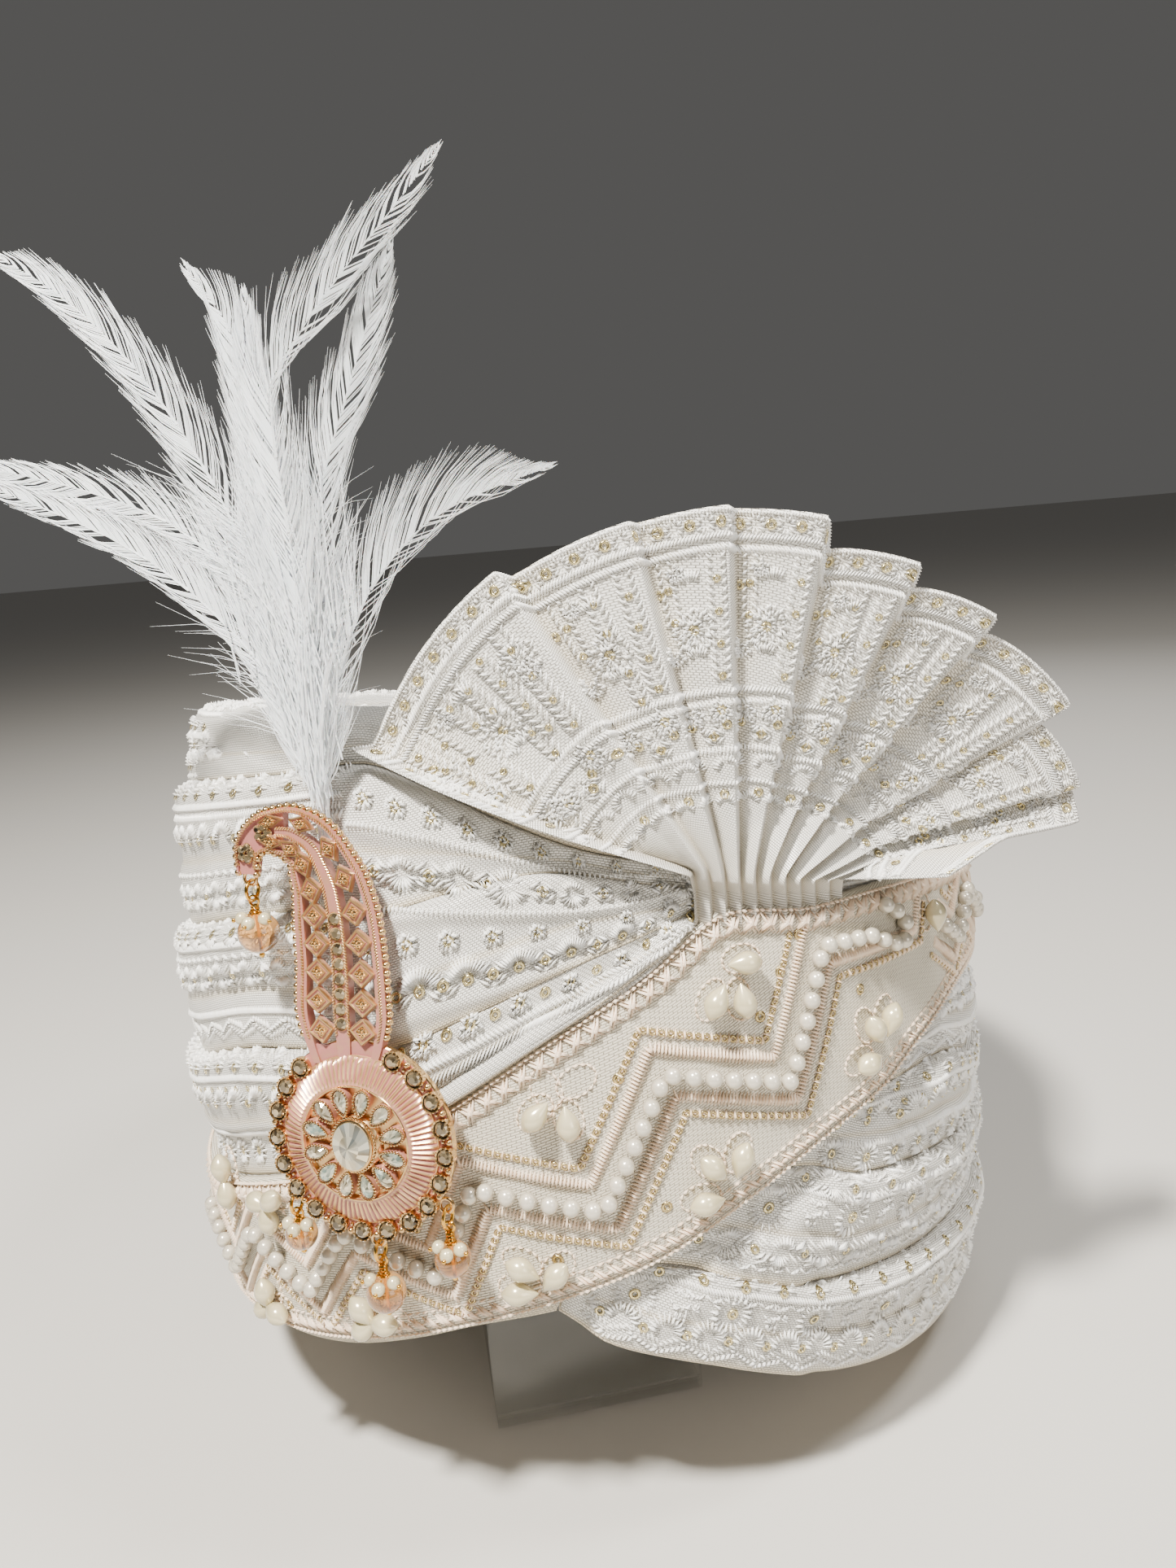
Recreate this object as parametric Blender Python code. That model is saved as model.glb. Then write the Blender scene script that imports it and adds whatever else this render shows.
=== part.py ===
"""A tied turban (pagri): six wound wraps, a pearl band, a pleated fan, a brooch with drops and a plume.

It stands on its clear stand. Metres, +Z up, the table at z = 0, the crown's axis at x = y = 0,
the front at -Y. Angles round the crown are in degrees from the front towards the viewer's left.
"""
import math

import bmesh
import bpy
from mathutils import Matrix, Vector

# Clearances
GAP = 0.0003
SEAM_GAP = 3.0  # degrees between a wrap's start and the ends that meet it

# Crown
CROWN_HALF_WIDTH = 0.1275
CROWN_HALF_DEPTH = 0.137
CROWN_HEIGHT = 0.220
CROWN_TOP_TILT_BACK = 0.0135
CROWN_TOP_TILT_LEFT = 0.004
CROWN_TOP_MEAN = CROWN_HEIGHT - CROWN_TOP_TILT_BACK
HEAD_HALF_WIDTH = 0.082
HEAD_HALF_DEPTH = 0.104
ROLL_BULGE = 0.0048
ROLL_FULL_HEIGHT = 0.030
UNDER_BAND_RECESS = 0.0005
WRAP_STATIONS = 30
TOP_ROLL_WIDTH = 0.011
TOP_ROLL_DIP = 0.003

# Seam: where the wraps start and end, as angle and share of the crown's height at its two ends
SEAM_LOW = (-5.0, 0.3227)
SEAM_HIGH = (-29.0, 0.7932)

# Cap
CAP_LEDGE = 0.003
CAP_DROP = 0.008
CAP_RISE = 0.005
CLOTH = 0.0022

# Band
BAND_LIFT = 0.0010
BAND_THICKNESS = 0.0022
BAND_STATIONS = 30
COVER_MARGIN = 0.009
COVER_FADE = 0.008

# Fan
FAN_RADIUS = 0.100
FAN_KNOT_LEFT = (0.400, 0.814)  # shares of the crown's half width and height
FAN_KNOT_RIGHT = (0.675, 0.773)
FAN_SET_BACK = 0.004
FAN_FRONT_X = 0.015
FAN_SWEEP = 0.75
FAN_EASE = 0.052
FAN_LEAN = 0.10
FAN_LEAN_FROM = 0.864  # share of the crown's height
FAN_WALL = 0.0024
FAN_PLEAT_DEPTH = 0.0055
FAN_CLEAR = 0.0005
FAN_PRESS = 0.6  # share of the rolls' bulge left where the fan presses on them

# Brooch
BROOCH_ANGLE = 12.5
BROOCH_UP = 0.5545  # share of the crown's height
BROOCH_STAND_OFF = 0.0090
BROOCH_TURN = -9.0
BROOCH_LEAN = 7.0
DISC_RADIUS = 0.0240
DISC_SIDES = 28
FLANGE_THICKNESS = 0.0024
PLATEAU_HEIGHT = 0.0056
PLATEAU_RADIUS = 0.0140
NECK_SIZE = 0.080
NECK_THICKNESS = 0.0030
LOZENGE_RAISE = 0.0010
LOZENGE_WIDTH = 0.0062
LOZENGE_PITCH = 0.0072
NECK_HOLE = 0.0026
RIM_STONES = 18
RIM_STONE_RADIUS = 0.0021
RIM_STONE_HEIGHT = 0.0024
RIM_RING = DISC_RADIUS - RIM_STONE_RADIUS * 0.8
RIM_STONE_FROM = 63.0
RIM_STONE_TO = -229.0
PETALS = 12
PETAL_RING = 0.0104
PETAL_LENGTH = 0.0066
PETAL_WIDTH = 0.0040
PETAL_HEIGHT = 0.0021
CENTRE_LENGTH = 0.0122
CENTRE_WIDTH = 0.0104
CENTRE_HEIGHT = 0.0030
CENTRE_BOSS = 0.0008
PIN_LENGTH = 0.014
PIN_TOP = -0.002
PIN_WIDTH = 0.0040
PIN_ASIDE = 0.008

# Drops
EYELET_RADIUS = 0.0017
EYELET_WIRE = 0.00045
RING_RADIUS = 0.0025
RING_WIRE = 0.00045
LOOP_RADIUS = 0.0013
LOOP_WIRE = 0.0004
SHANK_RADIUS = 0.0009
DROP_PEARL_RADIUS = 0.0018
LINK_PLAY = 0.0003

# Plume
PLUME_HEIGHT = 0.138
PLUME_STEM_RADIUS = 0.0013
PLUME_STEM_LENGTH = 0.022
PLUME_THICKNESS = 0.0018
PLUME_TURN = -4.0

# Pearls on the band
PEARL_LENGTH = 0.0088
PEARL_RADIUS = 0.0028
PEARL_SIDES = 10

# Stand: one clear sheet bent to a base, an upright and a shelf
STAND_WIDTH = 0.0623
STAND_DEPTH = 0.135
STAND_SHEET = 0.003
STAND_BEND = 0.005
STAND_TURN = 19.4
STAND_FRONT = (0.121, -0.846)  # shares of the hollow's half width and half depth

# Crown's outline from the side: share of the height, share of the half-width
CROWN_PROFILE = (
    (0.00, 0.965),
    (0.14, 0.985),
    (0.34, 1.000),
    (0.55, 0.995),
    (0.75, 0.965),
    (0.91, 0.915),
    (1.00, 0.860),
)

# A roll's section: share of its height, share of its bulge
ROLL_PROFILE = (
    (0.00, 0.00),
    (0.40, 0.58),
    (0.47, 0.42),
    (0.72, 0.85),
    (0.92, 1.00),
    (1.00, 0.00),
)

# Creases between the wraps: angle, share of the crown's height.
# A crease that starts and ends at the seam has its first and last height alone, in CREASE_ENDS.
CREASES = {
    "rim": (
        (4, 0.302), (12, 0.273), (23, 0.234), (40, 0.191), (58, 0.160), (90, 0.105),
        (130, 0.055), (180, 0.027), (230, 0.023), (270, 0.032), (284, 0.048),
        (307, 0.100), (322, 0.150), (329, 0.184), (341, 0.247), (348, 0.286),
    ),
    "5_6": (
        (4, 0.441), (30, 0.327), (58, 0.250), (90, 0.200), (130, 0.173), (180, 0.159),
        (230, 0.164), (270, 0.191), (283, 0.212), (300, 0.236), (314, 0.264),
        (325, 0.291), (333, 0.327), (342, 0.366),
    ),
    "4_5": (
        (-19, 0.723), (-10, 0.668), (4, 0.580), (15, 0.509), (30, 0.443), (58, 0.350),
        (90, 0.318), (130, 0.300), (180, 0.286), (230, 0.286), (270, 0.307),
        (283, 0.318), (306, 0.372), (317, 0.401), (325, 0.440),
    ),
    "3_4": (
        (-12, 0.732), (0, 0.685), (11, 0.640), (31, 0.605), (58, 0.514), (90, 0.468),
        (130, 0.436), (180, 0.414), (230, 0.409), (270, 0.411), (281, 0.414),
        (300, 0.481), (313, 0.493), (325, 0.514),
    ),
    "2_3": (
        (-20, 0.800), (-8, 0.826), (2, 0.812), (12, 0.789), (23, 0.780), (35, 0.755),
        (59, 0.691), (90, 0.627), (130, 0.586), (180, 0.555), (230, 0.541),
        (270, 0.543), (281, 0.550), (300, 0.577), (318, 0.609),
    ),
    "1_2": (
        (-22, 0.818), (-13, 0.843), (-4, 0.880), (5, 0.920), (14, 0.945), (26, 0.932),
        (38, 0.918), (61, 0.884), (90, 0.827), (130, 0.755), (180, 0.705),
        (230, 0.695), (270, 0.727), (300, 0.764), (315, 0.777),
    ),
}
CREASE_ENDS = {
    "rim": (0.3227, 0.3227),
    "5_6": (0.523, 0.382),
    "4_5": (0.7664, 0.473),
    "3_4": (0.7736, 0.545),
    "2_3": (0.7800, 0.650),
    "1_2": (0.7932, 0.7932),
}
WRAP_EDGES = (("rim", "5_6"), ("5_6", "4_5"), ("4_5", "3_4"), ("3_4", "2_3"), ("2_3", "1_2"))

# The pearl band: angle, share of the crown's height at its lower and upper edge
BAND_ROWS = (
    (-86, 0.550, 0.673),
    (-68, 0.561, 0.718),
    (-54, 0.532, 0.736),
    (-47, 0.502, 0.743),
    (-38, 0.476, 0.748),
    (-28, 0.434, 0.764),
    (-17, 0.382, 0.705),
    (-6, 0.345, 0.645),
    (4, 0.313, 0.580),
    (15, 0.276, 0.509),
    (30, 0.234, 0.443),
    (58, 0.178, 0.350),
    (90, 0.123, 0.318),
    (130, 0.073, 0.282),
    (165, 0.045, 0.259),
)

# The fan's folds, left to right: angle at the tip, share of the fan's radius at the fold,
# share of it in the dip to the fold's right
FAN_FOLDS = (
    (158, 1.03, 0.99),
    (126, 0.95, 0.92),
    (107, 0.89, 0.88),
    (93, 0.87, 0.86),
    (78, 0.845, 0.77),
    (61, 0.80, 0.74),
    (44, 0.80, 0.75),
    (22, 0.83, 0.74),
    (7, 0.80, 0.78),
    (0, 0.79, 0.60),
)
FAN_LAST_EDGE = (-9, 0.43)
FAN_DIP_TURN = 3.5
# How a pleat opens outward: share of the way to the tip, share of the pleat's depth
FAN_ROWS = ((0.0, 0.35), (0.12, 0.75), (0.35, 1.0), (0.65, 0.85), (1.0, 0.6))

# The neck of the brooch: side, height and half width, as shares of NECK_SIZE from the disc's centre
NECK_ROWS = (
    (-0.035, 0.225, 0.104),
    (-0.035, 0.290, 0.128),
    (-0.035, 0.388, 0.148),
    (-0.030, 0.518, 0.142),
    (-0.034, 0.644, 0.137),
    (-0.046, 0.746, 0.124),
    (-0.068, 0.810, 0.110),
    (-0.095, 0.866, 0.096),
    (-0.134, 0.900, 0.087),
    (-0.183, 0.920, 0.075),
    (-0.238, 0.922, 0.062),
    (-0.293, 0.900, 0.048),
    (-0.324, 0.856, 0.039),
    (-0.328, 0.792, 0.030),
)

# The disc's fluted ring: share of the way in from the rim stones to the plateau, height
DISC_RING = ((0.0, 0.0024), (0.06, 0.0040), (0.45, 0.0054), (0.84, 0.0048), (0.90, 0.0030), (0.98, 0.0030))

# Drops: side and height of the eyelet from the disc's centre, glass bead's radius, wire shank
DROPS = (
    (-0.0201, -0.0156, 0.0041, 0.0004),
    (0.0023, -0.0251, 0.0050, 0.0026),
    (0.0207, -0.0149, 0.0045, 0.0026),
    (-0.0262, 0.0622, 0.0052, 0.0016),
)

# The plume's blades: tip to the side and up, bend to the side and up, half width, set forward,
# all as shares of the plume's height
PLUME_BLADES = (
    (-0.45, 0.94, 0.06, 0.54, 0.050, 0.02),
    (-0.54, 0.62, -0.01, 0.51, 0.042, -0.02),
    (-0.54, 0.59, 0.03, 0.36, 0.040, 0.05),
    (-0.07, 0.88, 0.02, 0.50, 0.055, 0.03),
    (-0.02, 0.83, 0.00, 0.43, 0.075, 0.00),
    (0.26, 0.90, -0.04, 0.43, 0.045, 0.04),
    (0.33, 1.00, -0.16, 0.62, 0.050, -0.03),
    (0.45, 0.535, -0.07, 0.37, 0.045, 0.01),
)
# A blade's width along it: share of its length, share of its half width
BLADE_WIDTHS = ((0.0, 0.30), (0.25, 0.75), (0.5, 1.0), (0.78, 0.75), (1.0, 0.12))

# Pearl clusters on the band: angle, share of the crown's height, then the turn of each drop
# from straight up towards the viewer's right
PEARL_CLUSTERS = (
    (-26.7, 0.689, (67, -136, 162)),
    (-7.3, 0.581, (-120, 158)),
    (-24.1, 0.470, (-36, 35, -113)),
    (-45.0, 0.569, (-26, 38, -114)),
    (-3.7, 0.379, (-49, 56, -105)),
    (15.9, 0.307, (-43, -132, 84)),
    (30.7, 0.411, (-88, 48, 173)),
    (33.9, 0.261, (-10, -126, 104)),
    (41.0, 0.403, (-12, 168)),
)
# A drop pearl's section: share of its length, share of its radius
PEARL_SECTION = ((0.36, 0.62), (0.74, 1.0))


def material(name, colour, roughness, metallic=0.0, alpha=1.0):
    made = bpy.data.materials.new(name)
    made.use_nodes = True
    shader = made.node_tree.nodes["Principled BSDF"]
    shader.inputs["Base Color"].default_value = (*colour, 1.0)
    shader.inputs["Roughness"].default_value = roughness
    shader.inputs["Metallic"].default_value = metallic
    shader.inputs["Alpha"].default_value = alpha
    return made


def clear_scene():
    for thing in list(bpy.data.objects):
        bpy.data.objects.remove(thing, do_unlink=True)


def lerp(a, b, t):
    return a + (b - a) * t


def smooth_curve(rows, at, column=1):
    """The value at a place on a smooth curve through the rows, whose first column rises."""
    places = [row[0] for row in rows]
    values = [row[column] for row in rows]
    if at <= places[0]:
        return values[0]
    if at >= places[-1]:
        return values[-1]
    i = max(k for k in range(len(places) - 1) if places[k] <= at)
    step = places[i + 1] - places[i]
    rise = (values[i + 1] - values[i]) / step

    def slope(k):
        if k == 0 or k == len(places) - 1:
            return rise
        before = (values[k] - values[k - 1]) / (places[k] - places[k - 1])
        after = (values[k + 1] - values[k]) / (places[k + 1] - places[k])
        if before * after <= 0:
            return 0.0
        return 2 * before * after / (before + after)

    t = (at - places[i]) / step
    return (
        values[i] * (1 + 2 * t) * (1 - t) ** 2
        + slope(i) * step * t * (1 - t) ** 2
        + values[i + 1] * t * t * (3 - 2 * t)
        - slope(i + 1) * step * t * t * (1 - t)
    )


def add_object(name, bm, finish, sharp_degrees=40):
    bmesh.ops.remove_doubles(bm, verts=bm.verts, dist=0.000002)
    bmesh.ops.recalc_face_normals(bm, faces=bm.faces)
    mesh = bpy.data.meshes.new(name)
    bm.to_mesh(mesh)
    bm.free()
    mesh.shade_smooth()
    mesh.set_sharp_from_angle(angle=math.radians(sharp_degrees))
    thing = bpy.data.objects.new(name, mesh)
    bpy.context.scene.collection.objects.link(thing)
    mesh.materials.append(finish)
    return thing


def loft(rings, closed_path=False, back_split=()):
    """A body of triangles through rings of points; back_split names segments split the other way."""
    bm = bmesh.new()
    made = [[bm.verts.new(p) for p in ring] for ring in rings]
    count = len(made[0])
    pairs = list(zip(made, made[1:]))
    if closed_path:
        pairs.append((made[-1], made[0]))
    for here, there in pairs:
        for i in range(count):
            k = (i + 1) % count
            if i in back_split:
                bm.faces.new((here[i], here[k], there[i]))
                bm.faces.new((here[k], there[k], there[i]))
            else:
                bm.faces.new((here[i], here[k], there[k]))
                bm.faces.new((here[i], there[k], there[i]))
    if not closed_path:
        bm.faces.new(made[0])
        bm.faces.new(made[-1])
    return bm


def revolve(section, sides, place=Matrix.Identity(4)):
    """A body turned about Z from rows of radius and height; a radius of 0 makes a point."""
    bm = bmesh.new()
    rows = []
    for radius, height in section:
        if radius == 0:
            rows.append([bm.verts.new(place @ Vector((0, 0, height)))])
            continue
        turns = [2 * math.pi * i / sides for i in range(sides)]
        points = [Vector((radius * math.cos(a), radius * math.sin(a), height)) for a in turns]
        rows.append([bm.verts.new(place @ p) for p in points])
    for low, high in zip(rows, rows[1:]):
        for i in range(sides):
            k = (i + 1) % sides
            corners = [low[i % len(low)], low[k % len(low)], high[k % len(high)], high[i % len(high)]]
            unique = list(dict.fromkeys(corners))
            if len(unique) > 2:
                bm.faces.new(unique)
    for row in (rows[0], rows[-1]):
        if len(row) > 2:
            bm.faces.new(row)
    return bm


def torus(radius, wire, sides, wire_sides, place):
    """A wire ring in the local XY plane."""
    rings = []
    for i in range(sides):
        a = 2 * math.pi * i / sides
        ring = []
        for k in range(wire_sides):
            b = 2 * math.pi * k / wire_sides
            reach = radius + wire * math.cos(b)
            ring.append(place @ Vector((reach * math.cos(a), reach * math.sin(a), wire * math.sin(b))))
        rings.append(ring)
    return loft(rings, closed_path=True)


def ball(radius, sides, rows, place):
    """A round bead whose poles lie on local Z."""
    section = [(0, -radius)]
    for i in range(1, rows):
        a = math.pi * i / rows
        section.append((radius * math.sin(a), -radius * math.cos(a)))
    section.append((0, radius))
    return revolve(section, sides, place)


def fuse(name, pieces, finish, operation="UNION"):
    """One body from several: the first one, joined to or cut by the rest."""
    base, rest = pieces[0], pieces[1:]
    group = bpy.data.collections.new(name + "_pieces")
    bpy.context.scene.collection.children.link(group)
    for piece in rest:
        bpy.context.scene.collection.objects.unlink(piece)
        group.objects.link(piece)
    cut = base.modifiers.new("fuse", "BOOLEAN")
    cut.operation = operation
    cut.solver = "EXACT"
    cut.operand_type = "COLLECTION"
    cut.collection = group
    cut.use_self = False
    bpy.context.view_layer.update()
    graph = bpy.context.evaluated_depsgraph_get()
    mesh = bpy.data.meshes.new_from_object(base.evaluated_get(graph))
    base.modifiers.clear()
    base.data = mesh
    mesh.materials.clear()
    mesh.materials.append(finish)
    for piece in rest:
        bpy.data.objects.remove(piece, do_unlink=True)
    bpy.data.collections.remove(group)
    base.name = name
    mesh.name = name
    return base


def crown_axes(z):
    share = smooth_curve(CROWN_PROFILE, z / CROWN_HEIGHT)
    return CROWN_HALF_WIDTH * share, CROWN_HALF_DEPTH * share


def crown_point(angle, z, out=0.0):
    """A place on the crown's crease surface, set outward along its level normal."""
    a, b = crown_axes(z)
    turn = math.radians(-angle)
    normal = Vector((math.sin(turn) / a, -math.cos(turn) / b, 0)).normalized()
    return Vector((a * math.sin(turn), -b * math.cos(turn), z)) + normal * out


def head_point(angle, z, out=0.0):
    turn = math.radians(-angle)
    width, depth = HEAD_HALF_WIDTH + out, HEAD_HALF_DEPTH + out
    return Vector((width * math.sin(turn), -depth * math.cos(turn), z))


def seam_angle(z):
    share = (z / CROWN_HEIGHT - SEAM_LOW[1]) / (SEAM_HIGH[1] - SEAM_LOW[1])
    return lerp(SEAM_LOW[0], SEAM_HIGH[0], share)


def crown_top(angle):
    turn = math.radians(angle)
    return (
        CROWN_TOP_MEAN
        + CROWN_TOP_TILT_BACK * math.cos(turn)
        + CROWN_TOP_TILT_LEFT * math.sin(turn)
    )


def crease_run(name):
    """Angle and height of each station along a crease."""
    start, end = (CROWN_HEIGHT * share for share in CREASE_ENDS[name])
    first = seam_angle(start)
    last = 360 + seam_angle(end) - SEAM_GAP
    rows = ((first, CREASE_ENDS[name][0]), *CREASES[name], (last, CREASE_ENDS[name][1]))
    run = []
    for i in range(WRAP_STATIONS + 1):
        angle = lerp(first, last, i / WRAP_STATIONS)
        run.append((angle, CROWN_HEIGHT * smooth_curve(rows, angle)))
    return run


def band_edges(angle):
    """Heights of the band's lower and upper edge."""
    low = CROWN_HEIGHT * smooth_curve(BAND_ROWS, angle, 1)
    high = CROWN_HEIGHT * smooth_curve(BAND_ROWS, angle, 2)
    return low, high


def under_band(angle, z):
    """1 where the band presses the wraps flat, 0 well clear of it."""
    if angle > 200:
        angle -= 360
    low, high = band_edges(angle)
    round_mm = math.radians(1) * CROWN_HALF_WIDTH
    past_end = max(BAND_ROWS[0][0] - angle, angle - BAND_ROWS[-1][0], 0) * round_mm
    away = max(low - z, z - high, past_end, 0)
    t = min(max((away - COVER_MARGIN) / COVER_FADE, 0), 1)
    return 1 - t * t * (3 - 2 * t)


def roll_out(angle, z, share, height):
    """How far a roll's surface stands out of the crease surface."""
    if share == 0:
        return 0.0
    full = ROLL_BULGE * share * min(1.0, height / ROLL_FULL_HEIGHT)
    return lerp(full, -UNDER_BAND_RECESS, under_band(angle, z))


def wrap_section(low, high):
    """A wrap's section: out and up over its roll, in along its top, down the head wall."""
    low_angle, low_z = low[0], low[1] + GAP / 2
    high_angle, high_z = high[0], high[1] - GAP / 2
    ring = []
    for up, share in ROLL_PROFILE:
        angle, z = lerp(low_angle, high_angle, up), lerp(low_z, high_z, up)
        ring.append(crown_point(angle, z, roll_out(angle, z, share, high_z - low_z)))
    ring.append(head_point(high_angle, high_z))
    ring.append(head_point(low_angle, low_z))
    return ring


def make_wrap(name, low_name, high_name, finish):
    sections = [wrap_section(a, b) for a, b in zip(crease_run(low_name), crease_run(high_name))]
    return add_object(name, loft(sections, back_split=(len(sections[0]) - 1,)), finish)


def make_top_wrap(name, finish):
    """The uppermost wrap is a closed ring with a rounded top and a ledge inside for the cap."""
    rings = []
    for angle, crease in crease_run("1_2"):
        low, high = crease + GAP / 2, crown_top(angle)
        ring = []
        for up, share in ROLL_PROFILE[:-1]:
            z = lerp(low, high, up * 0.92)
            ring.append(crown_point(angle, z, roll_out(angle, z, share, high - low)))
        ring.append(crown_point(angle, high, -TOP_ROLL_WIDTH / 2))
        ring.append(head_point(angle, high - TOP_ROLL_DIP, CAP_LEDGE + GAP))
        seat = high - CAP_DROP
        ring.append(head_point(angle, seat, CAP_LEDGE))
        ring.append(head_point(angle, seat))
        ring.append(head_point(angle, low))
        rings.append(ring)
    return add_object(name, loft(rings, closed_path=True, back_split=(len(rings[0]) - 1,)), finish)


def cap_height(x, y):
    """The cap's underside: a shallow dome over the tilted ledge."""
    width, depth = HEAD_HALF_WIDTH + CAP_LEDGE, HEAD_HALF_DEPTH + CAP_LEDGE
    tilt = -CROWN_TOP_TILT_BACK * y / depth - CROWN_TOP_TILT_LEFT * x / width
    round_off = 1 - (x / width) ** 2 - (y / depth) ** 2
    return CROWN_TOP_MEAN + tilt - CAP_DROP + GAP + CAP_RISE * max(round_off, 0)


def make_cap(finish):
    bm = bmesh.new()
    edge = [head_point(angle, 0, CAP_LEDGE - 2 * GAP) for angle, crease in crease_run("1_2")]
    sides = len(edge)
    rows = [[(point.x * share, point.y * share) for point in edge] for share in (1.0, 0.6)]
    layers = []
    for lift in (0.0, CLOTH):
        layer = [[bm.verts.new((x, y, cap_height(x, y) + lift)) for x, y in row] for row in rows]
        layer.append([bm.verts.new((0, 0, cap_height(0, 0) + lift))])
        layers.append(layer)
    for layer in layers:
        for outer, inner in zip(layer, layer[1:]):
            for i in range(sides):
                k = (i + 1) % sides
                corners = [outer[i], outer[k], inner[k % len(inner)], inner[i % len(inner)]]
                bm.faces.new(list(dict.fromkeys(corners)))
    for i in range(sides):
        k = (i + 1) % sides
        bm.faces.new((layers[0][0][i], layers[0][0][k], layers[1][0][k], layers[1][0][i]))
    return add_object("crown_cap", bm, finish)


def make_band(finish):
    first, last = BAND_ROWS[0][0], BAND_ROWS[-1][0]
    sections = []
    for i in range(BAND_STATIONS + 1):
        angle = lerp(first, last, i / BAND_STATIONS)
        low, high = band_edges(angle)
        heights = [lerp(low, high, share) for share in (0, 0.33, 0.67, 1)]
        outer = [crown_point(angle, z, BAND_LIFT + BAND_THICKNESS) for z in heights]
        inner = [crown_point(angle, z, BAND_LIFT) for z in reversed(heights)]
        sections.append(outer + inner)
    return add_object("pearl_band", loft(sections), finish)


def fan_sheet(x, z):
    """How far back the spread fan lies at a place across and up."""
    across = FAN_SWEEP * (x - FAN_FRONT_X)
    y = FAN_SET_BACK - CROWN_HALF_DEPTH + math.hypot(FAN_EASE, across) - FAN_EASE
    return y + max(0.0, z - FAN_LEAN_FROM * CROWN_HEIGHT) * FAN_LEAN


def crown_face(x, z):
    """How far forward the wraps reach at a place across and up, or None beside the crown."""
    a, b = (half + ROLL_BULGE * FAN_PRESS for half in crown_axes(z))
    if abs(x) >= a:
        return None
    return -b * math.sqrt(1 - (x / a) ** 2)


def fan_column(base, tip, depth):
    """Front and back points down one line of the fan, from the knot to the tip."""
    front, back = [], []
    base_y = crown_face(*base) - FAN_CLEAR - FAN_WALL
    tip_y = fan_sheet(*tip)
    for share, open_share in FAN_ROWS:
        x, z = lerp(base[0], tip[0], share), lerp(base[1], tip[1], share)
        y = lerp(base_y, tip_y, math.sqrt(share))
        face = crown_face(x, z) if z < CROWN_TOP_MEAN + CROWN_TOP_TILT_BACK else None
        if face is not None:
            y = min(y, face - FAN_CLEAR - FAN_WALL)
        y -= FAN_PLEAT_DEPTH * open_share * depth
        front.append(Vector((x, y, z)))
        back.append(Vector((x, y + FAN_WALL, z)))
    return front, back


def make_fan(finish):
    knot_left, knot_right = (
        Vector((across * CROWN_HALF_WIDTH, up * CROWN_HEIGHT))
        for across, up in (FAN_KNOT_LEFT, FAN_KNOT_RIGHT)
    )
    centre = knot_left.lerp(knot_right, 0.5)

    def tip(angle, share):
        turn = math.radians(angle)
        reach = FAN_RADIUS * share
        return centre.x + reach * math.cos(turn), centre.y + reach * math.sin(turn)

    lines = []
    for i, (angle, fold_share, dip_share) in enumerate(FAN_FOLDS):
        after = FAN_FOLDS[i + 1] if i + 1 < len(FAN_FOLDS) else (*FAN_LAST_EDGE, 0)
        middle = (angle - FAN_DIP_TURN + after[0]) / 2
        lines.append((angle, fold_share, 1.0))
        lines.append((angle - FAN_DIP_TURN, dip_share, 0.0))
        lines.append((middle, lerp(dip_share, after[1], 0.6), 0.35))
    lines.append((*FAN_LAST_EDGE, 0.2))
    columns = []
    for i, (angle, share, depth) in enumerate(lines):
        base = knot_left.lerp(knot_right, i / (len(lines) - 1))
        columns.append(fan_column((base.x, base.y), tip(angle, share), depth))
    rings = [front + list(reversed(back)) for front, back in columns]
    return add_object("fan", loft(rings), finish, sharp_degrees=50)


def brooch_place():
    """The brooch's frame: X across, Y up its face, Z out of it, from the disc's centre at its back."""
    turn, lean = math.radians(BROOCH_TURN), math.radians(BROOCH_LEAN)
    out = Vector(
        (math.sin(turn) * math.cos(lean), -math.cos(turn) * math.cos(lean), math.sin(lean))
    )
    across = Vector((math.cos(turn), math.sin(turn), 0))
    up = out.cross(across)
    place = Matrix((across, up, out)).transposed().to_4x4()
    place.translation = crown_point(BROOCH_ANGLE, BROOCH_UP * CROWN_HEIGHT, BROOCH_STAND_OFF)
    return place


def depth_to_band(place, x, y):
    """How far the band's face lies behind a place on the brooch's back."""
    depth, step = 0.0, 0.0001
    while depth < 0.02:
        spot = place @ Vector((x, y, -depth))
        a, b = crown_axes(spot.z)
        lift = BAND_LIFT + BAND_THICKNESS
        if (spot.x / (a + lift)) ** 2 + (spot.y / (b + lift)) ** 2 < 1:
            break
        depth += step
    return depth


def neck_line():
    """The neck's centre line and half width, as points in the brooch's frame."""
    rows = [(side * NECK_SIZE, up * NECK_SIZE, half * NECK_SIZE) for side, up, half in NECK_ROWS]
    places = [0.0]
    for a, b in zip(rows, rows[1:]):
        places.append(places[-1] + math.dist(a[:2], b[:2]))
    return [(place, *row) for place, row in zip(places, rows)]


def neck_point(line, along, aside=0.0):
    """A point along the neck, aside in shares of its half width towards the left when it runs up."""
    x, y, half = (smooth_curve(line, along, column) for column in (1, 2, 3))
    step = 0.0004
    ahead = Vector([smooth_curve(line, along + step, c) for c in (1, 2)])
    behind = Vector([smooth_curve(line, along - step, c) for c in (1, 2)])
    run = (ahead - behind).normalized()
    return Vector((x, y)) + Vector((-run.y, run.x)) * half * aside, half


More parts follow.
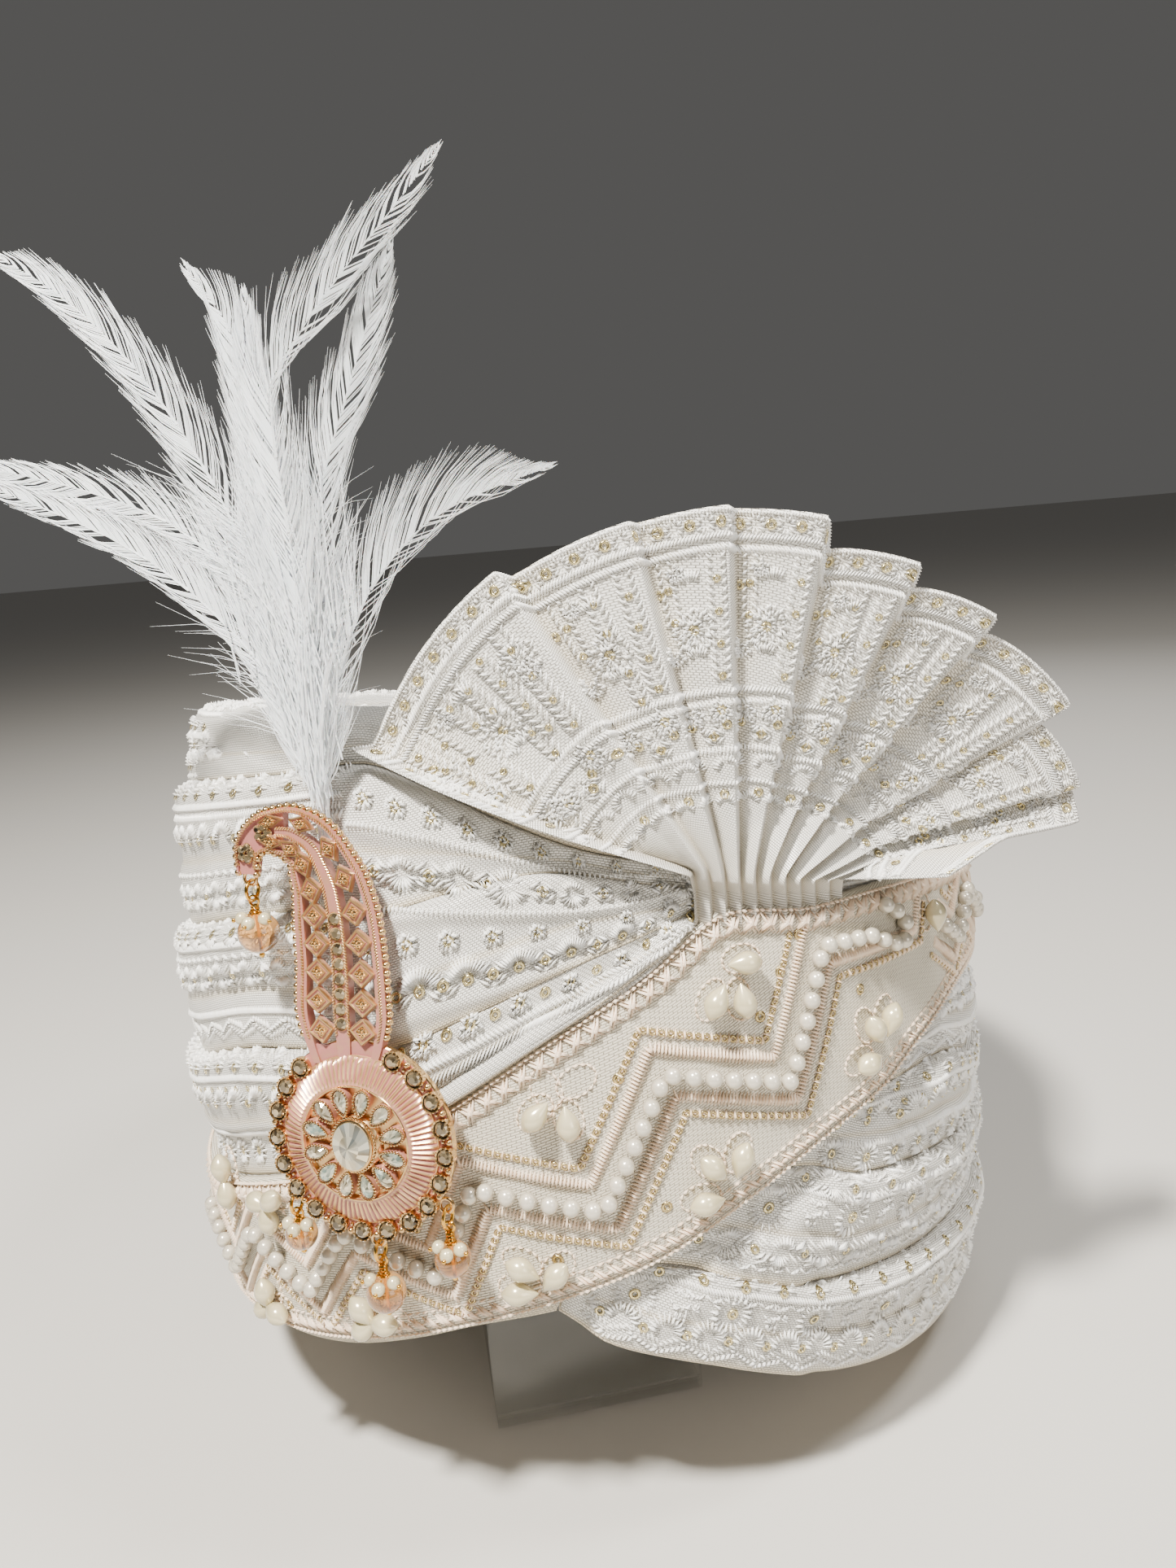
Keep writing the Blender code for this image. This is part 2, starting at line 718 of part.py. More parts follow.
def flat_curve_body(name, outlines, low, high, place, finish):
    """A plate cut from outlines: the first is its edge and the rest are holes."""
    curve = bpy.data.curves.new(name, "CURVE")
    curve.dimensions = "2D"
    curve.fill_mode = "BOTH"
    curve.extrude = (high - low) / 2
    for outline in outlines:
        spline = curve.splines.new("POLY")
        spline.points.add(len(outline) - 1)
        for point, (x, y) in zip(spline.points, outline):
            point.co = (x, y, 0, 1)
        spline.use_cyclic_u = True
    guide = bpy.data.objects.new(name, curve)
    bpy.context.scene.collection.objects.link(guide)
    bpy.context.view_layer.update()
    graph = bpy.context.evaluated_depsgraph_get()
    mesh = bpy.data.meshes.new_from_object(guide.evaluated_get(graph))
    bpy.data.objects.remove(guide, do_unlink=True)
    bm = bmesh.new()
    bm.from_mesh(mesh)
    bpy.data.meshes.remove(mesh)
    lift = Matrix.Translation((0, 0, (low + high) / 2))
    bmesh.ops.transform(bm, matrix=place @ lift, verts=bm.verts)
    return add_object(name, bm, finish)


def neck_lozenges(line):
    """Middle place along the neck and side of each raised lozenge."""
    spots = []
    length = line[-1][0]
    count = int((length * 0.62 - NECK_SIZE * 0.10) / LOZENGE_PITCH)
    for i in range(count):
        along = NECK_SIZE * 0.10 + LOZENGE_PITCH * (i + 0.5)
        for side in (-0.52, 0.52):
            spots.append((along, side))
    return spots


def make_neck_parts(place, finish):
    line = neck_line()
    length = line[-1][0]
    steps = 16
    left = [neck_point(line, length * i / steps, 1.0)[0] for i in range(steps + 1)]
    right = [neck_point(line, length * i / steps, -1.0)[0] for i in range(steps + 1)]
    outline = right + list(reversed(left))
    holes = []
    spots = neck_lozenges(line)
    for along, side in spots[:-2]:
        gap_at = along + LOZENGE_PITCH / 2
        for aside in (side * 0.36, side * 1.52):
            centre, half = neck_point(line, gap_at, aside)
            size = NECK_HOLE * half / (NECK_SIZE * 0.14) / 2
            lean = 1 if abs(aside) > abs(side) else -1
            inward = neck_point(line, gap_at, side)[0] - centre
            inward.normalize()
            ahead = Vector((inward.y, -inward.x)) * size
            holes.append([centre + ahead, centre - ahead, centre + inward * size * 1.1])
            del lean
    plate = flat_curve_body("neck_plate", [outline, *holes], 0, NECK_THICKNESS, place, finish)
    pieces = [plate]
    for along, side in spots:
        centre, half = neck_point(line, along, side)
        ahead = neck_point(line, along + 0.001, side)[0] - centre
        ahead.normalize()
        aside = Vector((-ahead.y, ahead.x))
        wide = LOZENGE_WIDTH / 2 * half / (NECK_SIZE * 0.14)
        long = LOZENGE_PITCH * 0.46
        rings = []
        for share, z in ((1.0, NECK_THICKNESS - 0.0006), (0.45, NECK_THICKNESS + LOZENGE_RAISE)):
            corners = (ahead * long, aside * wide, -ahead * long, -aside * wide)
            ring = []
            for corner in corners:
                flat = centre + corner * share
                ring.append(place @ Vector((flat.x, flat.y, z)))
            rings.append(ring)
        pieces.append(add_object("lozenge", loft(rings), finish))
    return pieces


def eyelet_centres():
    return [Vector((drop[0], drop[1], FLANGE_THICKNESS / 2)) for drop in DROPS]


def make_brooch(place, finish):
    section = [
        (DISC_RADIUS * 0.955, 0.0),
        (DISC_RADIUS, FLANGE_THICKNESS * 0.5),
        (DISC_RADIUS * 0.985, FLANGE_THICKNESS),
    ]
    ring_edge = RIM_RING - RIM_STONE_RADIUS - GAP
    section += [(lerp(ring_edge, PLATEAU_RADIUS, share), height) for share, height in DISC_RING]
    section.append((PLATEAU_RADIUS, PLATEAU_HEIGHT))
    section.append((CENTRE_WIDTH * 0.55, PLATEAU_HEIGHT))
    section.append((CENTRE_WIDTH * 0.52, PLATEAU_HEIGHT + CENTRE_BOSS))
    disc = add_object("disc", revolve(section, DISC_SIDES, place), finish)
    pieces = [disc, *make_neck_parts(place, finish)]
    for centre in eyelet_centres():
        ring = torus(EYELET_RADIUS, EYELET_WIRE, 10, 5, place @ Matrix.Translation(centre))
        pieces.append(add_object("eyelet", ring, finish))
    pin = bmesh.new()
    bmesh.ops.create_cube(pin, size=1.0)
    ends = (PIN_TOP, PIN_TOP - PIN_LENGTH)
    corners = [(PIN_ASIDE + x, y) for x in (-PIN_WIDTH / 2, PIN_WIDTH / 2) for y in ends]
    depth = min(depth_to_band(place, *corner) for corner in corners) - GAP
    size = Matrix.Diagonal((PIN_WIDTH, PIN_LENGTH, depth + FLANGE_THICKNESS / 2, 1))
    middle = (PIN_ASIDE, PIN_TOP - PIN_LENGTH / 2, (FLANGE_THICKNESS / 2 - depth) / 2)
    bmesh.ops.transform(pin, matrix=place @ Matrix.Translation(middle) @ size, verts=pin.verts)
    pieces.append(add_object("pin", pin, finish))
    return fuse("brooch", pieces, finish)


def cut_stone(outline, height, collet=0.45, table=0.5):
    """Rings of a set stone: its collet's foot and edge, then facets up to its table."""
    girdle = 0.86
    levels = ((1.0, 0.0), (1.0, height * collet), (girdle, height * collet * 1.05), (table, height))
    return [[Vector((x * s, y * s, z)) for x, y in outline] for s, z in levels]


def round_outline(radius, sides):
    turns = [2 * math.pi * i / sides for i in range(sides)]
    return [(radius * math.cos(a), radius * math.sin(a)) for a in turns]


def petal_outline(length, width, sides=8):
    """A teardrop outline that points to -X."""
    points = []
    for i in range(sides):
        a = 2 * math.pi * i / sides
        pinch = 0.5 + 0.5 * math.sin(math.pi * (0.5 + 0.5 * math.cos(a)) / 1.6)
        points.append((length / 2 * math.cos(a), width / 2 * math.sin(a) * pinch))
    return points


def make_stones(place, glass):
    lift = PLATEAU_HEIGHT + GAP
    for i in range(PETALS):
        turn = 360 * (i + 0.5) / PETALS
        spot = Matrix.Rotation(math.radians(turn), 4, "Z") @ Matrix.Translation((PETAL_RING, 0, lift))
        rings = cut_stone(petal_outline(PETAL_LENGTH, PETAL_WIDTH), PETAL_HEIGHT)
        placed = [[place @ spot @ p for p in ring] for ring in rings]
        add_object(f"petal_stone_{i + 1}", loft(placed), glass, 20)
    for i in range(RIM_STONES):
        turn = lerp(RIM_STONE_FROM, RIM_STONE_TO, i / (RIM_STONES - 1))
        spot = Matrix.Rotation(math.radians(turn), 4, "Z") @ Matrix.Translation(
            (RIM_RING, 0, FLANGE_THICKNESS + GAP)
        )
        rings = cut_stone(round_outline(RIM_STONE_RADIUS, 8), RIM_STONE_HEIGHT)
        del rings[2]
        placed = [[place @ spot @ p for p in ring] for ring in rings]
        add_object(f"rim_stone_{i + 1}", loft(placed), glass, 20)
    outline = [(x, y * CENTRE_LENGTH / CENTRE_WIDTH) for x, y in round_outline(CENTRE_WIDTH / 2, 12)]
    spot = Matrix.Translation((0, 0, PLATEAU_HEIGHT + CENTRE_BOSS + GAP))
    placed = [[place @ spot @ p for p in ring] for ring in cut_stone(outline, CENTRE_HEIGHT)]
    add_object("centre_stone", loft(placed), glass, 20)


def make_drops(place, metal, amber):
    """Each drop hangs from an eyelet by a jump ring; its own loop carries pearls and a glass bead."""
    frame = place.to_3x3()
    across = frame @ Vector((1, 0, 0))
    out = Vector((across.y, -across.x, 0))
    up = Vector((0, 0, 1))
    for i, (eyelet, drop) in enumerate(zip(eyelet_centres(), DROPS)):
        bead, shank = drop[2:]
        hang = place @ eyelet
        fall = EYELET_RADIUS - EYELET_WIRE - RING_WIRE - LINK_PLAY + RING_RADIUS
        ring_centre = hang - up * fall
        facing = Matrix((out, up, across)).transposed().to_4x4()
        facing.translation = ring_centre
        ring = torus(RING_RADIUS, RING_WIRE, 10, 5, facing)
        add_object(f"jump_ring_{i + 1}", ring, metal)
        fall = RING_RADIUS - RING_WIRE - LOOP_WIRE - LINK_PLAY + LOOP_RADIUS
        loop_centre = ring_centre - up * fall
        level = Matrix((across, up, -out)).transposed().to_4x4()
        level.translation = loop_centre
        loop = add_object("loop", torus(LOOP_RADIUS, LOOP_WIRE, 8, 5, level), metal)
        pieces = [loop]
        shank_top = loop_centre - up * LOOP_RADIUS
        bead_centre = shank_top - up * (shank + bead)
        section = [(SHANK_RADIUS, -0.0004), (SHANK_RADIUS, shank + bead * 0.3)]
        axis = Matrix((across, -out, -up)).transposed().to_4x4()
        axis.translation = shank_top
        pieces.append(add_object("shank", revolve(section, 8, axis), metal))
        upright = Matrix.Translation(bead_centre)
        pieces.append(add_object("bead", ball(bead, 10, 6, upright), amber))
        for side in (-1, 1):
            spread = across * side * bead * 0.62 + out * bead * 0.25
            spot = bead_centre + up * (bead * 0.66 + DROP_PEARL_RADIUS * 0.3) + spread
            pearl = ball(DROP_PEARL_RADIUS, 10, 4, Matrix.Translation(spot))
            pieces.append(add_object("pearl", pearl, amber))
        fuse(f"drop_{i + 1}", pieces, amber)


def make_plume(place, white):
    """Blades from one stem that stands behind the neck's top."""
    back = -GAP - PLUME_STEM_RADIUS
    foot = place @ Vector((-0.085 * NECK_SIZE, 0.98 * NECK_SIZE, back))
    turn = math.radians(PLUME_TURN)
    across = Vector((math.cos(turn), math.sin(turn), 0))
    out = Vector((math.sin(turn), -math.cos(turn), 0))
    up = place.to_3x3() @ Vector((0, 1, 0))
    stem_foot = foot - up * PLUME_STEM_LENGTH
    axes = Matrix((across, out, up)).transposed().to_4x4()
    axes.translation = stem_foot
    section = (
        (PLUME_STEM_RADIUS * 0.7, 0),
        (PLUME_STEM_RADIUS, PLUME_STEM_LENGTH * 0.2),
        (PLUME_STEM_RADIUS, PLUME_STEM_LENGTH),
        (PLUME_STEM_RADIUS * 2.2, PLUME_STEM_LENGTH * 1.35),
        (PLUME_STEM_RADIUS * 0.8, PLUME_STEM_LENGTH * 1.6),
    )
    pieces = [add_object("stem", revolve(section, 10, axes), white)]
    for blade, row in enumerate(PLUME_BLADES):
        tip_x, tip_z, bend_x, bend_z, half, forward = (value * PLUME_HEIGHT for value in row)
        rings = []
        nudge = 0.00013 * (blade - 4)
        for t, width in BLADE_WIDTHS:
            side = 2 * t * (1 - t) * bend_x + t * t * tip_x + nudge
            rise = 2 * t * (1 - t) * bend_z + t * t * tip_z + 0.0021 * (1 - t)
            run_x = 2 * (1 - 2 * t) * bend_x + 2 * t * tip_x
            run_z = 2 * (1 - 2 * t) * bend_z + 2 * t * tip_z
            size = math.hypot(run_x, run_z)
            wide = (across * run_z - Vector((0, 0, run_x))) / size * half * width
            thick = out * PLUME_THICKNESS * (0.35 + 0.65 * width)
            centre = foot + across * side + Vector((0, 0, rise)) + out * forward * t
            rings.append([centre + wide, centre + thick, centre - wide, centre - thick])
        pieces.append(add_object("blade", loft(rings), white))
    return fuse("plume", pieces, white)


def make_pearl_clusters(cream):
    for i, (angle, share, turns) in enumerate(PEARL_CLUSTERS):
        z = CROWN_HEIGHT * share
        out_by = BAND_LIFT + BAND_THICKNESS + PEARL_RADIUS + GAP
        centre = crown_point(angle, z, out_by)
        ahead = crown_point(angle - 1, z, out_by)
        across = (ahead - centre).normalized()
        above = crown_point(angle, z + 0.001, out_by)
        up = (above - centre).normalized()
        out = across.cross(up)
        pieces = []
        for k, degrees in enumerate(turns):
            turn = math.radians(degrees)
            run = up * math.cos(turn) + across * math.sin(turn)
            aside = out.cross(run)
            axes = Matrix((aside, out, run)).transposed().to_4x4()
            axes.translation = centre - run * 0.0009 + out * (0.00007 * k)
            section = [(0, 0)]
            section += [(PEARL_RADIUS * r, PEARL_LENGTH * s) for s, r in PEARL_SECTION]
            section.append((0, PEARL_LENGTH))
            pieces.append(add_object("drop_pearl", revolve(section, PEARL_SIDES, axes), cream))
        fuse(f"pearl_cluster_{i + 1}", pieces, cream)


def stand_frame():
    turn = math.radians(STAND_TURN)
    place = Matrix.Rotation(turn, 4, "Z")
    across, along = STAND_FRONT
    place.translation = Vector((across * HEAD_HALF_WIDTH, along * HEAD_HALF_DEPTH, 0))
    return place


def shelf_height():
    """The shelf's top, a clearance under the cap at the corner where the cap is lowest."""
    place = stand_frame()
    corners = []
    for x in (-STAND_WIDTH / 2, STAND_WIDTH / 2):
        for y in (0, STAND_DEPTH):
            spot = place @ Vector((x, y, 0))
            corners.append(cap_height(spot.x, spot.y))
    return min(corners) - 2 * GAP


def make_stand(clear):
    """The sheet's side outline, extruded across its width; Y runs back from the upright's face."""
    top = shelf_height()
    t, bend = STAND_SHEET, STAND_BEND
    outline = [(STAND_DEPTH, 0)]

    def arc(y, z, radius, start, end, steps=4):
        for i in range(steps + 1):
            a = math.radians(lerp(start, end, i / steps))
            outline.append((y + radius * math.cos(a), z + radius * math.sin(a)))

    arc(bend, bend, bend, 270, 180)
    arc(bend, top - bend, bend, 180, 90)
    outline.append((STAND_DEPTH, top))
    outline.append((STAND_DEPTH, top - t))
    arc(bend, top - bend, bend - t, 90, 180)
    arc(bend, bend, bend - t, 180, 270)
    outline.append((STAND_DEPTH, t))
    place = stand_frame()
    sides = []
    for x in (-STAND_WIDTH / 2, STAND_WIDTH / 2):
        sides.append([place @ Vector((x, y, z)) for y, z in outline])
    return add_object("stand", loft(sides), clear)


def build():
    clear_scene()
    white_cloth = material("white embroidered cloth", (0.86, 0.84, 0.80), 0.55)
    blush_cloth = material("blush pearl band cloth", (0.80, 0.66, 0.58), 0.6)
    enamel = material("dusty pink enamel on gold", (0.62, 0.30, 0.27), 0.35, 0.6)
    gold = material("gold plated wire", (0.83, 0.60, 0.25), 0.22, 1.0)
    crystal = material("cut glass stone", (0.55, 0.47, 0.38), 0.05, 0.2)
    amber = material("amber glass and cream pearl", (0.78, 0.48, 0.22), 0.08)
    cream = material("cream drop pearl", (0.86, 0.80, 0.66), 0.2)
    feather = material("white feather", (0.88, 0.88, 0.88), 0.8)
    clear = material("clear acrylic sheet", (0.85, 0.88, 0.88), 0.05, 0.0, 0.3)

    make_stand(clear)
    make_cap(white_cloth)
    make_top_wrap("wrap_1", white_cloth)
    for i, (low_name, high_name) in enumerate(reversed(WRAP_EDGES)):
        make_wrap(f"wrap_{i + 2}", low_name, high_name, white_cloth)
    make_band(blush_cloth)
    make_fan(white_cloth)
    place = brooch_place()
    make_brooch(place, enamel)
    make_stones(place, crystal)
    make_drops(place, gold, amber)
    make_plume(place, feather)
    make_pearl_clusters(cream)


build()
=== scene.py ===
"""A tied turban (pagri) in embroidered white satin, with its pearl band, pleated fan, brooch and plume.

Metres, +Z up, the crown's axis at x = y = 0 and the front at -Y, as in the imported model. Angles
round the crown are in degrees from the front towards the viewer's left.
"""
import math

import bmesh
import bpy
import numpy as np
from mathutils import Matrix, Vector


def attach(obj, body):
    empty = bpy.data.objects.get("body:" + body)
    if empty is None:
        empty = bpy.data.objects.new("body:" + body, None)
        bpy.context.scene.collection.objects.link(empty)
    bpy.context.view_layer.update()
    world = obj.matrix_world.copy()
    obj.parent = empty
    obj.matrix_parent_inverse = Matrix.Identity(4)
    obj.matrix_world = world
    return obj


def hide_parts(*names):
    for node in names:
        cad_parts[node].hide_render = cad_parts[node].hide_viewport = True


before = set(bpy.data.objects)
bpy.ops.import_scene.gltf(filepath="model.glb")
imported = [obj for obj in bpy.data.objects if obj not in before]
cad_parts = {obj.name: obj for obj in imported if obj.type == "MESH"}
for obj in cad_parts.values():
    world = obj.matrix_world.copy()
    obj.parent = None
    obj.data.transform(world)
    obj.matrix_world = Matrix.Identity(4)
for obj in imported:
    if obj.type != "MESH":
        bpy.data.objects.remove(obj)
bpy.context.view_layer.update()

MM = 0.001
GAP = 0.0003
SEAM_GAP = 3.0

# Crown, as in the part's source
CROWN_HALF_WIDTH = 0.1275
CROWN_HALF_DEPTH = 0.137
CROWN_HEIGHT = 0.220
CROWN_TOP_TILT_BACK = 0.0135
CROWN_TOP_TILT_LEFT = 0.004
CROWN_TOP_MEAN = CROWN_HEIGHT - CROWN_TOP_TILT_BACK
HEAD_HALF_WIDTH = 0.082
HEAD_HALF_DEPTH = 0.104
ROLL_BULGE = 0.0048
ROLL_FULL_HEIGHT = 0.030
UNDER_BAND_RECESS = 0.0005
SEAM_LOW = (-5.0, 0.3227)
SEAM_HIGH = (-29.0, 0.7932)
CAP_LEDGE = 0.003
CAP_DROP = 0.008
CAP_RISE = 0.005
BAND_LIFT = 0.0010
BAND_THICKNESS = 0.0022
COVER_MARGIN = 0.009
COVER_FADE = 0.008
CROWN_PROFILE = (
    (0.00, 0.965), (0.14, 0.985), (0.34, 1.000), (0.55, 0.995), (0.75, 0.965), (0.91, 0.915),
    (1.00, 0.860),
)
# A roll's section: share of its height, share of its bulge
ROLL_PROFILE = (
    (0.00, 0.00), (0.03, 0.16), (0.18, 0.36), (0.34, 0.60), (0.41, 0.62), (0.455, 0.46), (0.50, 0.50),
    (0.62, 0.80), (0.80, 1.02), (0.90, 1.10), (0.955, 0.95), (0.985, 0.55), (1.00, 0.00),
)
CREASES = {
    "rim": (
        (4, 0.302), (12, 0.273), (23, 0.234), (40, 0.191), (58, 0.160), (90, 0.105),
        (130, 0.055), (180, 0.027), (230, 0.023), (270, 0.032), (284, 0.048),
        (307, 0.100), (322, 0.150), (329, 0.184), (341, 0.247), (348, 0.286),
    ),
    "5_6": (
        (4, 0.441), (30, 0.327), (58, 0.250), (90, 0.200), (130, 0.173), (180, 0.159),
        (230, 0.164), (270, 0.191), (283, 0.212), (300, 0.236), (314, 0.264),
        (325, 0.291), (333, 0.327), (342, 0.366),
    ),
    "4_5": (
        (-19, 0.723), (-10, 0.668), (4, 0.580), (15, 0.509), (30, 0.443), (58, 0.350),
        (90, 0.318), (130, 0.300), (180, 0.286), (230, 0.286), (270, 0.307),
        (283, 0.318), (306, 0.372), (317, 0.401), (325, 0.440),
    ),
    "3_4": (
        (-12, 0.732), (0, 0.685), (11, 0.640), (31, 0.605), (58, 0.514), (90, 0.468),
        (130, 0.436), (180, 0.414), (230, 0.409), (270, 0.411), (281, 0.414),
        (300, 0.481), (313, 0.493), (325, 0.514),
    ),
    "2_3": (
        (-20, 0.800), (-8, 0.826), (2, 0.812), (12, 0.789), (23, 0.780), (35, 0.755),
        (59, 0.691), (90, 0.627), (130, 0.586), (180, 0.555), (230, 0.541),
        (270, 0.543), (281, 0.550), (300, 0.577), (318, 0.609),
    ),
    "1_2": (
        (-22, 0.818), (-13, 0.843), (-4, 0.880), (5, 0.920), (14, 0.945), (26, 0.932),
        (38, 0.918), (61, 0.884), (90, 0.827), (130, 0.755), (180, 0.705),
        (230, 0.695), (270, 0.727), (300, 0.764), (315, 0.777),
    ),
}
CREASE_ENDS = {
    "rim": (0.3227, 0.3227),
    "5_6": (0.523, 0.382),
    "4_5": (0.7664, 0.473),
    "3_4": (0.7736, 0.545),
    "2_3": (0.7800, 0.650),
    "1_2": (0.7932, 0.7932),
}
WRAP_EDGES = {
    2: ("2_3", "1_2"),
    3: ("3_4", "2_3"),
    4: ("4_5", "3_4"),
    5: ("5_6", "4_5"),
    6: ("rim", "5_6"),
}
BAND_ROWS = (
    (-86, 0.550, 0.673), (-68, 0.561, 0.718), (-54, 0.532, 0.736), (-47, 0.502, 0.743),
    (-38, 0.476, 0.748), (-28, 0.434, 0.764), (-17, 0.382, 0.705), (-6, 0.345, 0.645),
    (4, 0.313, 0.580), (15, 0.276, 0.509), (30, 0.234, 0.443), (58, 0.178, 0.350), (90, 0.123, 0.318),
    (130, 0.073, 0.282), (165, 0.045, 0.259),
)

# Fan, as in the part's source
FAN_RADIUS = 0.100
FAN_KNOT_LEFT = (0.400, 0.814)
FAN_KNOT_RIGHT = (0.675, 0.773)
FAN_SET_BACK = 0.004
FAN_FRONT_X = 0.015
FAN_SWEEP = 0.75
FAN_EASE = 0.052
FAN_LEAN = 0.10
FAN_LEAN_FROM = 0.864
FAN_WALL = 0.0024
FAN_PLEAT_DEPTH = 0.0055
FAN_CLEAR = 0.0005
FAN_PRESS = 0.6
FAN_CLOTH = 0.0013
# The pleats run on below the knot by this share of their length, tucked behind the band
FAN_TUCK = -0.13
FAN_FOLDS = (
    (158, 1.03, 0.99), (126, 0.95, 0.92), (107, 0.89, 0.88), (93, 0.87, 0.86), (78, 0.845, 0.77),
    (61, 0.80, 0.74), (44, 0.80, 0.75), (22, 0.83, 0.74), (7, 0.80, 0.78), (0, 0.79, 0.60),
)
FAN_LAST_EDGE = (-9, 0.43)
FAN_DIP_TURN = 1.1
FAN_ROWS = ((0.0, 0.85), (0.12, 1.0), (0.35, 1.05), (0.65, 0.95), (1.0, 0.7))

# Brooch and drops, as in the part's source
BROOCH_ANGLE = 12.5
BROOCH_UP = 0.5545
BROOCH_STAND_OFF = 0.0090
BROOCH_TURN = -9.0
BROOCH_LEAN = 7.0


# Curves and places on the crown


def lerp(a, b, t):
    return a + (b - a) * t


def smooth(rows, at, column=1):
    """Values on a smooth curve through the rows, whose first column rises."""
    places = np.array([row[0] for row in rows], float)
    values = np.array([row[column] for row in rows], float)
    rise = np.diff(values) / np.diff(places)
    slope = np.concatenate([rise[:1], rise[:-1] * 0, rise[-1:]])
    before, after = rise[:-1], rise[1:]
    same = before * after > 0
    slope[1:-1] = np.where(same, 2 * before * after / np.where(same, before + after, 1), 0)
    at = np.clip(np.asarray(at, float), places[0], places[-1])
    i = np.clip(np.searchsorted(places, at, side="right") - 1, 0, len(places) - 2)
    step = places[i + 1] - places[i]
    t = (at - places[i]) / step
    return (
        values[i] * (1 + 2 * t) * (1 - t) ** 2
        + slope[i] * step * t * (1 - t) ** 2
        + values[i + 1] * t * t * (3 - 2 * t)
        - slope[i + 1] * step * t * t * (1 - t)
    )


def fade(t):
    t = np.clip(t, 0, 1)
    return t * t * (3 - 2 * t)


def crown_axes(z):
    share = smooth(CROWN_PROFILE, np.asarray(z) / CROWN_HEIGHT)
    return CROWN_HALF_WIDTH * share, CROWN_HALF_DEPTH * share


def crown_point(angle, z, out=0.0):
    """A place on the crown's crease surface, set outward along its level normal."""
    a, b = crown_axes(z)
    turn = np.radians(-np.asarray(angle, float))
    normal_x, normal_y = np.sin(turn) / a, -np.cos(turn) / b
    size = np.hypot(normal_x, normal_y)
    x = a * np.sin(turn) + normal_x / size * out
    y = -b * np.cos(turn) + normal_y / size * out
    return np.stack(np.broadcast_arrays(x, y, np.asarray(z, float)), -1)


def head_point(angle, z, out=0.0):
    turn = np.radians(-np.asarray(angle, float))
    x = (HEAD_HALF_WIDTH + out) * np.sin(turn)
    y = -(HEAD_HALF_DEPTH + out) * np.cos(turn)
    return np.stack(np.broadcast_arrays(x, y, np.asarray(z, float)), -1)


def seam_angle(share):
    return lerp(SEAM_LOW[0], SEAM_HIGH[0], (share - SEAM_LOW[1]) / (SEAM_HIGH[1] - SEAM_LOW[1]))


def crown_top(angle):
    turn = np.radians(angle)
    return CROWN_TOP_MEAN + CROWN_TOP_TILT_BACK * np.cos(turn) + CROWN_TOP_TILT_LEFT * np.sin(turn)


def crease_rows(name):
    """A crease as rows of angle and share of the crown's height, from its start to its end."""
    start, end = CREASE_ENDS[name]
    return ((seam_angle(start), start), *CREASES[name], (360 + seam_angle(end) - SEAM_GAP, end))


def crease(name, t):
    """Angle and height of places along a crease, t from its start to its end."""
    rows = crease_rows(name)
    angle = lerp(rows[0][0], rows[-1][0], t)
    return angle, CROWN_HEIGHT * smooth(rows, angle)


def crease_height(name, angle):
    return CROWN_HEIGHT * smooth(crease_rows(name), angle)


def band_edges(angle):
    low = CROWN_HEIGHT * smooth(BAND_ROWS, angle, 1)
    return low, CROWN_HEIGHT * smooth(BAND_ROWS, angle, 2)


def under_band(angle, z):
    """1 where the band presses the wraps flat, 0 well clear of it."""
    angle = np.where(angle > 200, angle - 360, angle)
    low, high = band_edges(angle)
    per_degree = math.radians(1) * CROWN_HALF_WIDTH
    past_end = np.maximum(BAND_ROWS[0][0] - angle, angle - BAND_ROWS[-1][0]) * per_degree
    away = np.maximum(np.maximum(low - z, z - high), np.maximum(past_end, 0))
    return 1 - fade((away - COVER_MARGIN) / COVER_FADE)


def to_front(angle):
    """The same angle between -180 and 180."""
    return np.where(angle > 180, angle - 360, angle)


def run_along(points):
    """How far each point of a line is from its first, along the line."""
    return np.concatenate([[0], np.cumsum(np.linalg.norm(np.diff(points, axis=0), axis=1))])


# Nodes and materials


def linear(colour):
    """An sRGB hex colour as linear red, green, blue and alpha."""
    parts = [int(colour[i : i + 2], 16) / 255 for i in (1, 3, 5)]
    turned = [c / 12.92 if c <= 0.04045 else ((c + 0.055) / 1.055) ** 2.4 for c in parts]
    return (*turned, 1.0)


def new_material(name):
    made = bpy.data.materials.new(name)
    made.use_nodes = True
    return made


def fill(made, node, inputs):
    """Sets a node's inputs: each is a number, a hex colour or another node's output."""
    for key, value in inputs.items():
        if isinstance(value, bpy.types.NodeSocket):
            made.node_tree.links.new(value, node.inputs[key])
        else:
            node.inputs[key].default_value = linear(value) if isinstance(value, str) else value


def add_node(made, kind, out, inputs=None, **settings):
    """Adds a node to a material and returns one of its outputs."""
    node = made.node_tree.nodes.new("ShaderNode" + kind)
    for key, value in settings.items():
        setattr(node, key, value)
    fill(made, node, inputs or {})
    return node.outputs[out]


def set_shader(made, **inputs):
    inputs = {key.replace("_", " "): value for key, value in inputs.items()}
    fill(made, made.node_tree.nodes["Principled BSDF"], inputs)
    return made


def clouded(made, light, dark, scale, detail, **noise):
    """A soft noise over the object, and a colour that changes with it from light to dark."""
    noise |= {"Vector": add_node(made, "TexCoord", "Object"), "Scale": scale, "Detail": detail}
    cloud = add_node(made, "TexNoise", "Fac", noise)
    tones = {"Factor": cloud, "A": light, "B": dark}
    return cloud, add_node(made, "Mix", "Result", tones, data_type="RGBA")


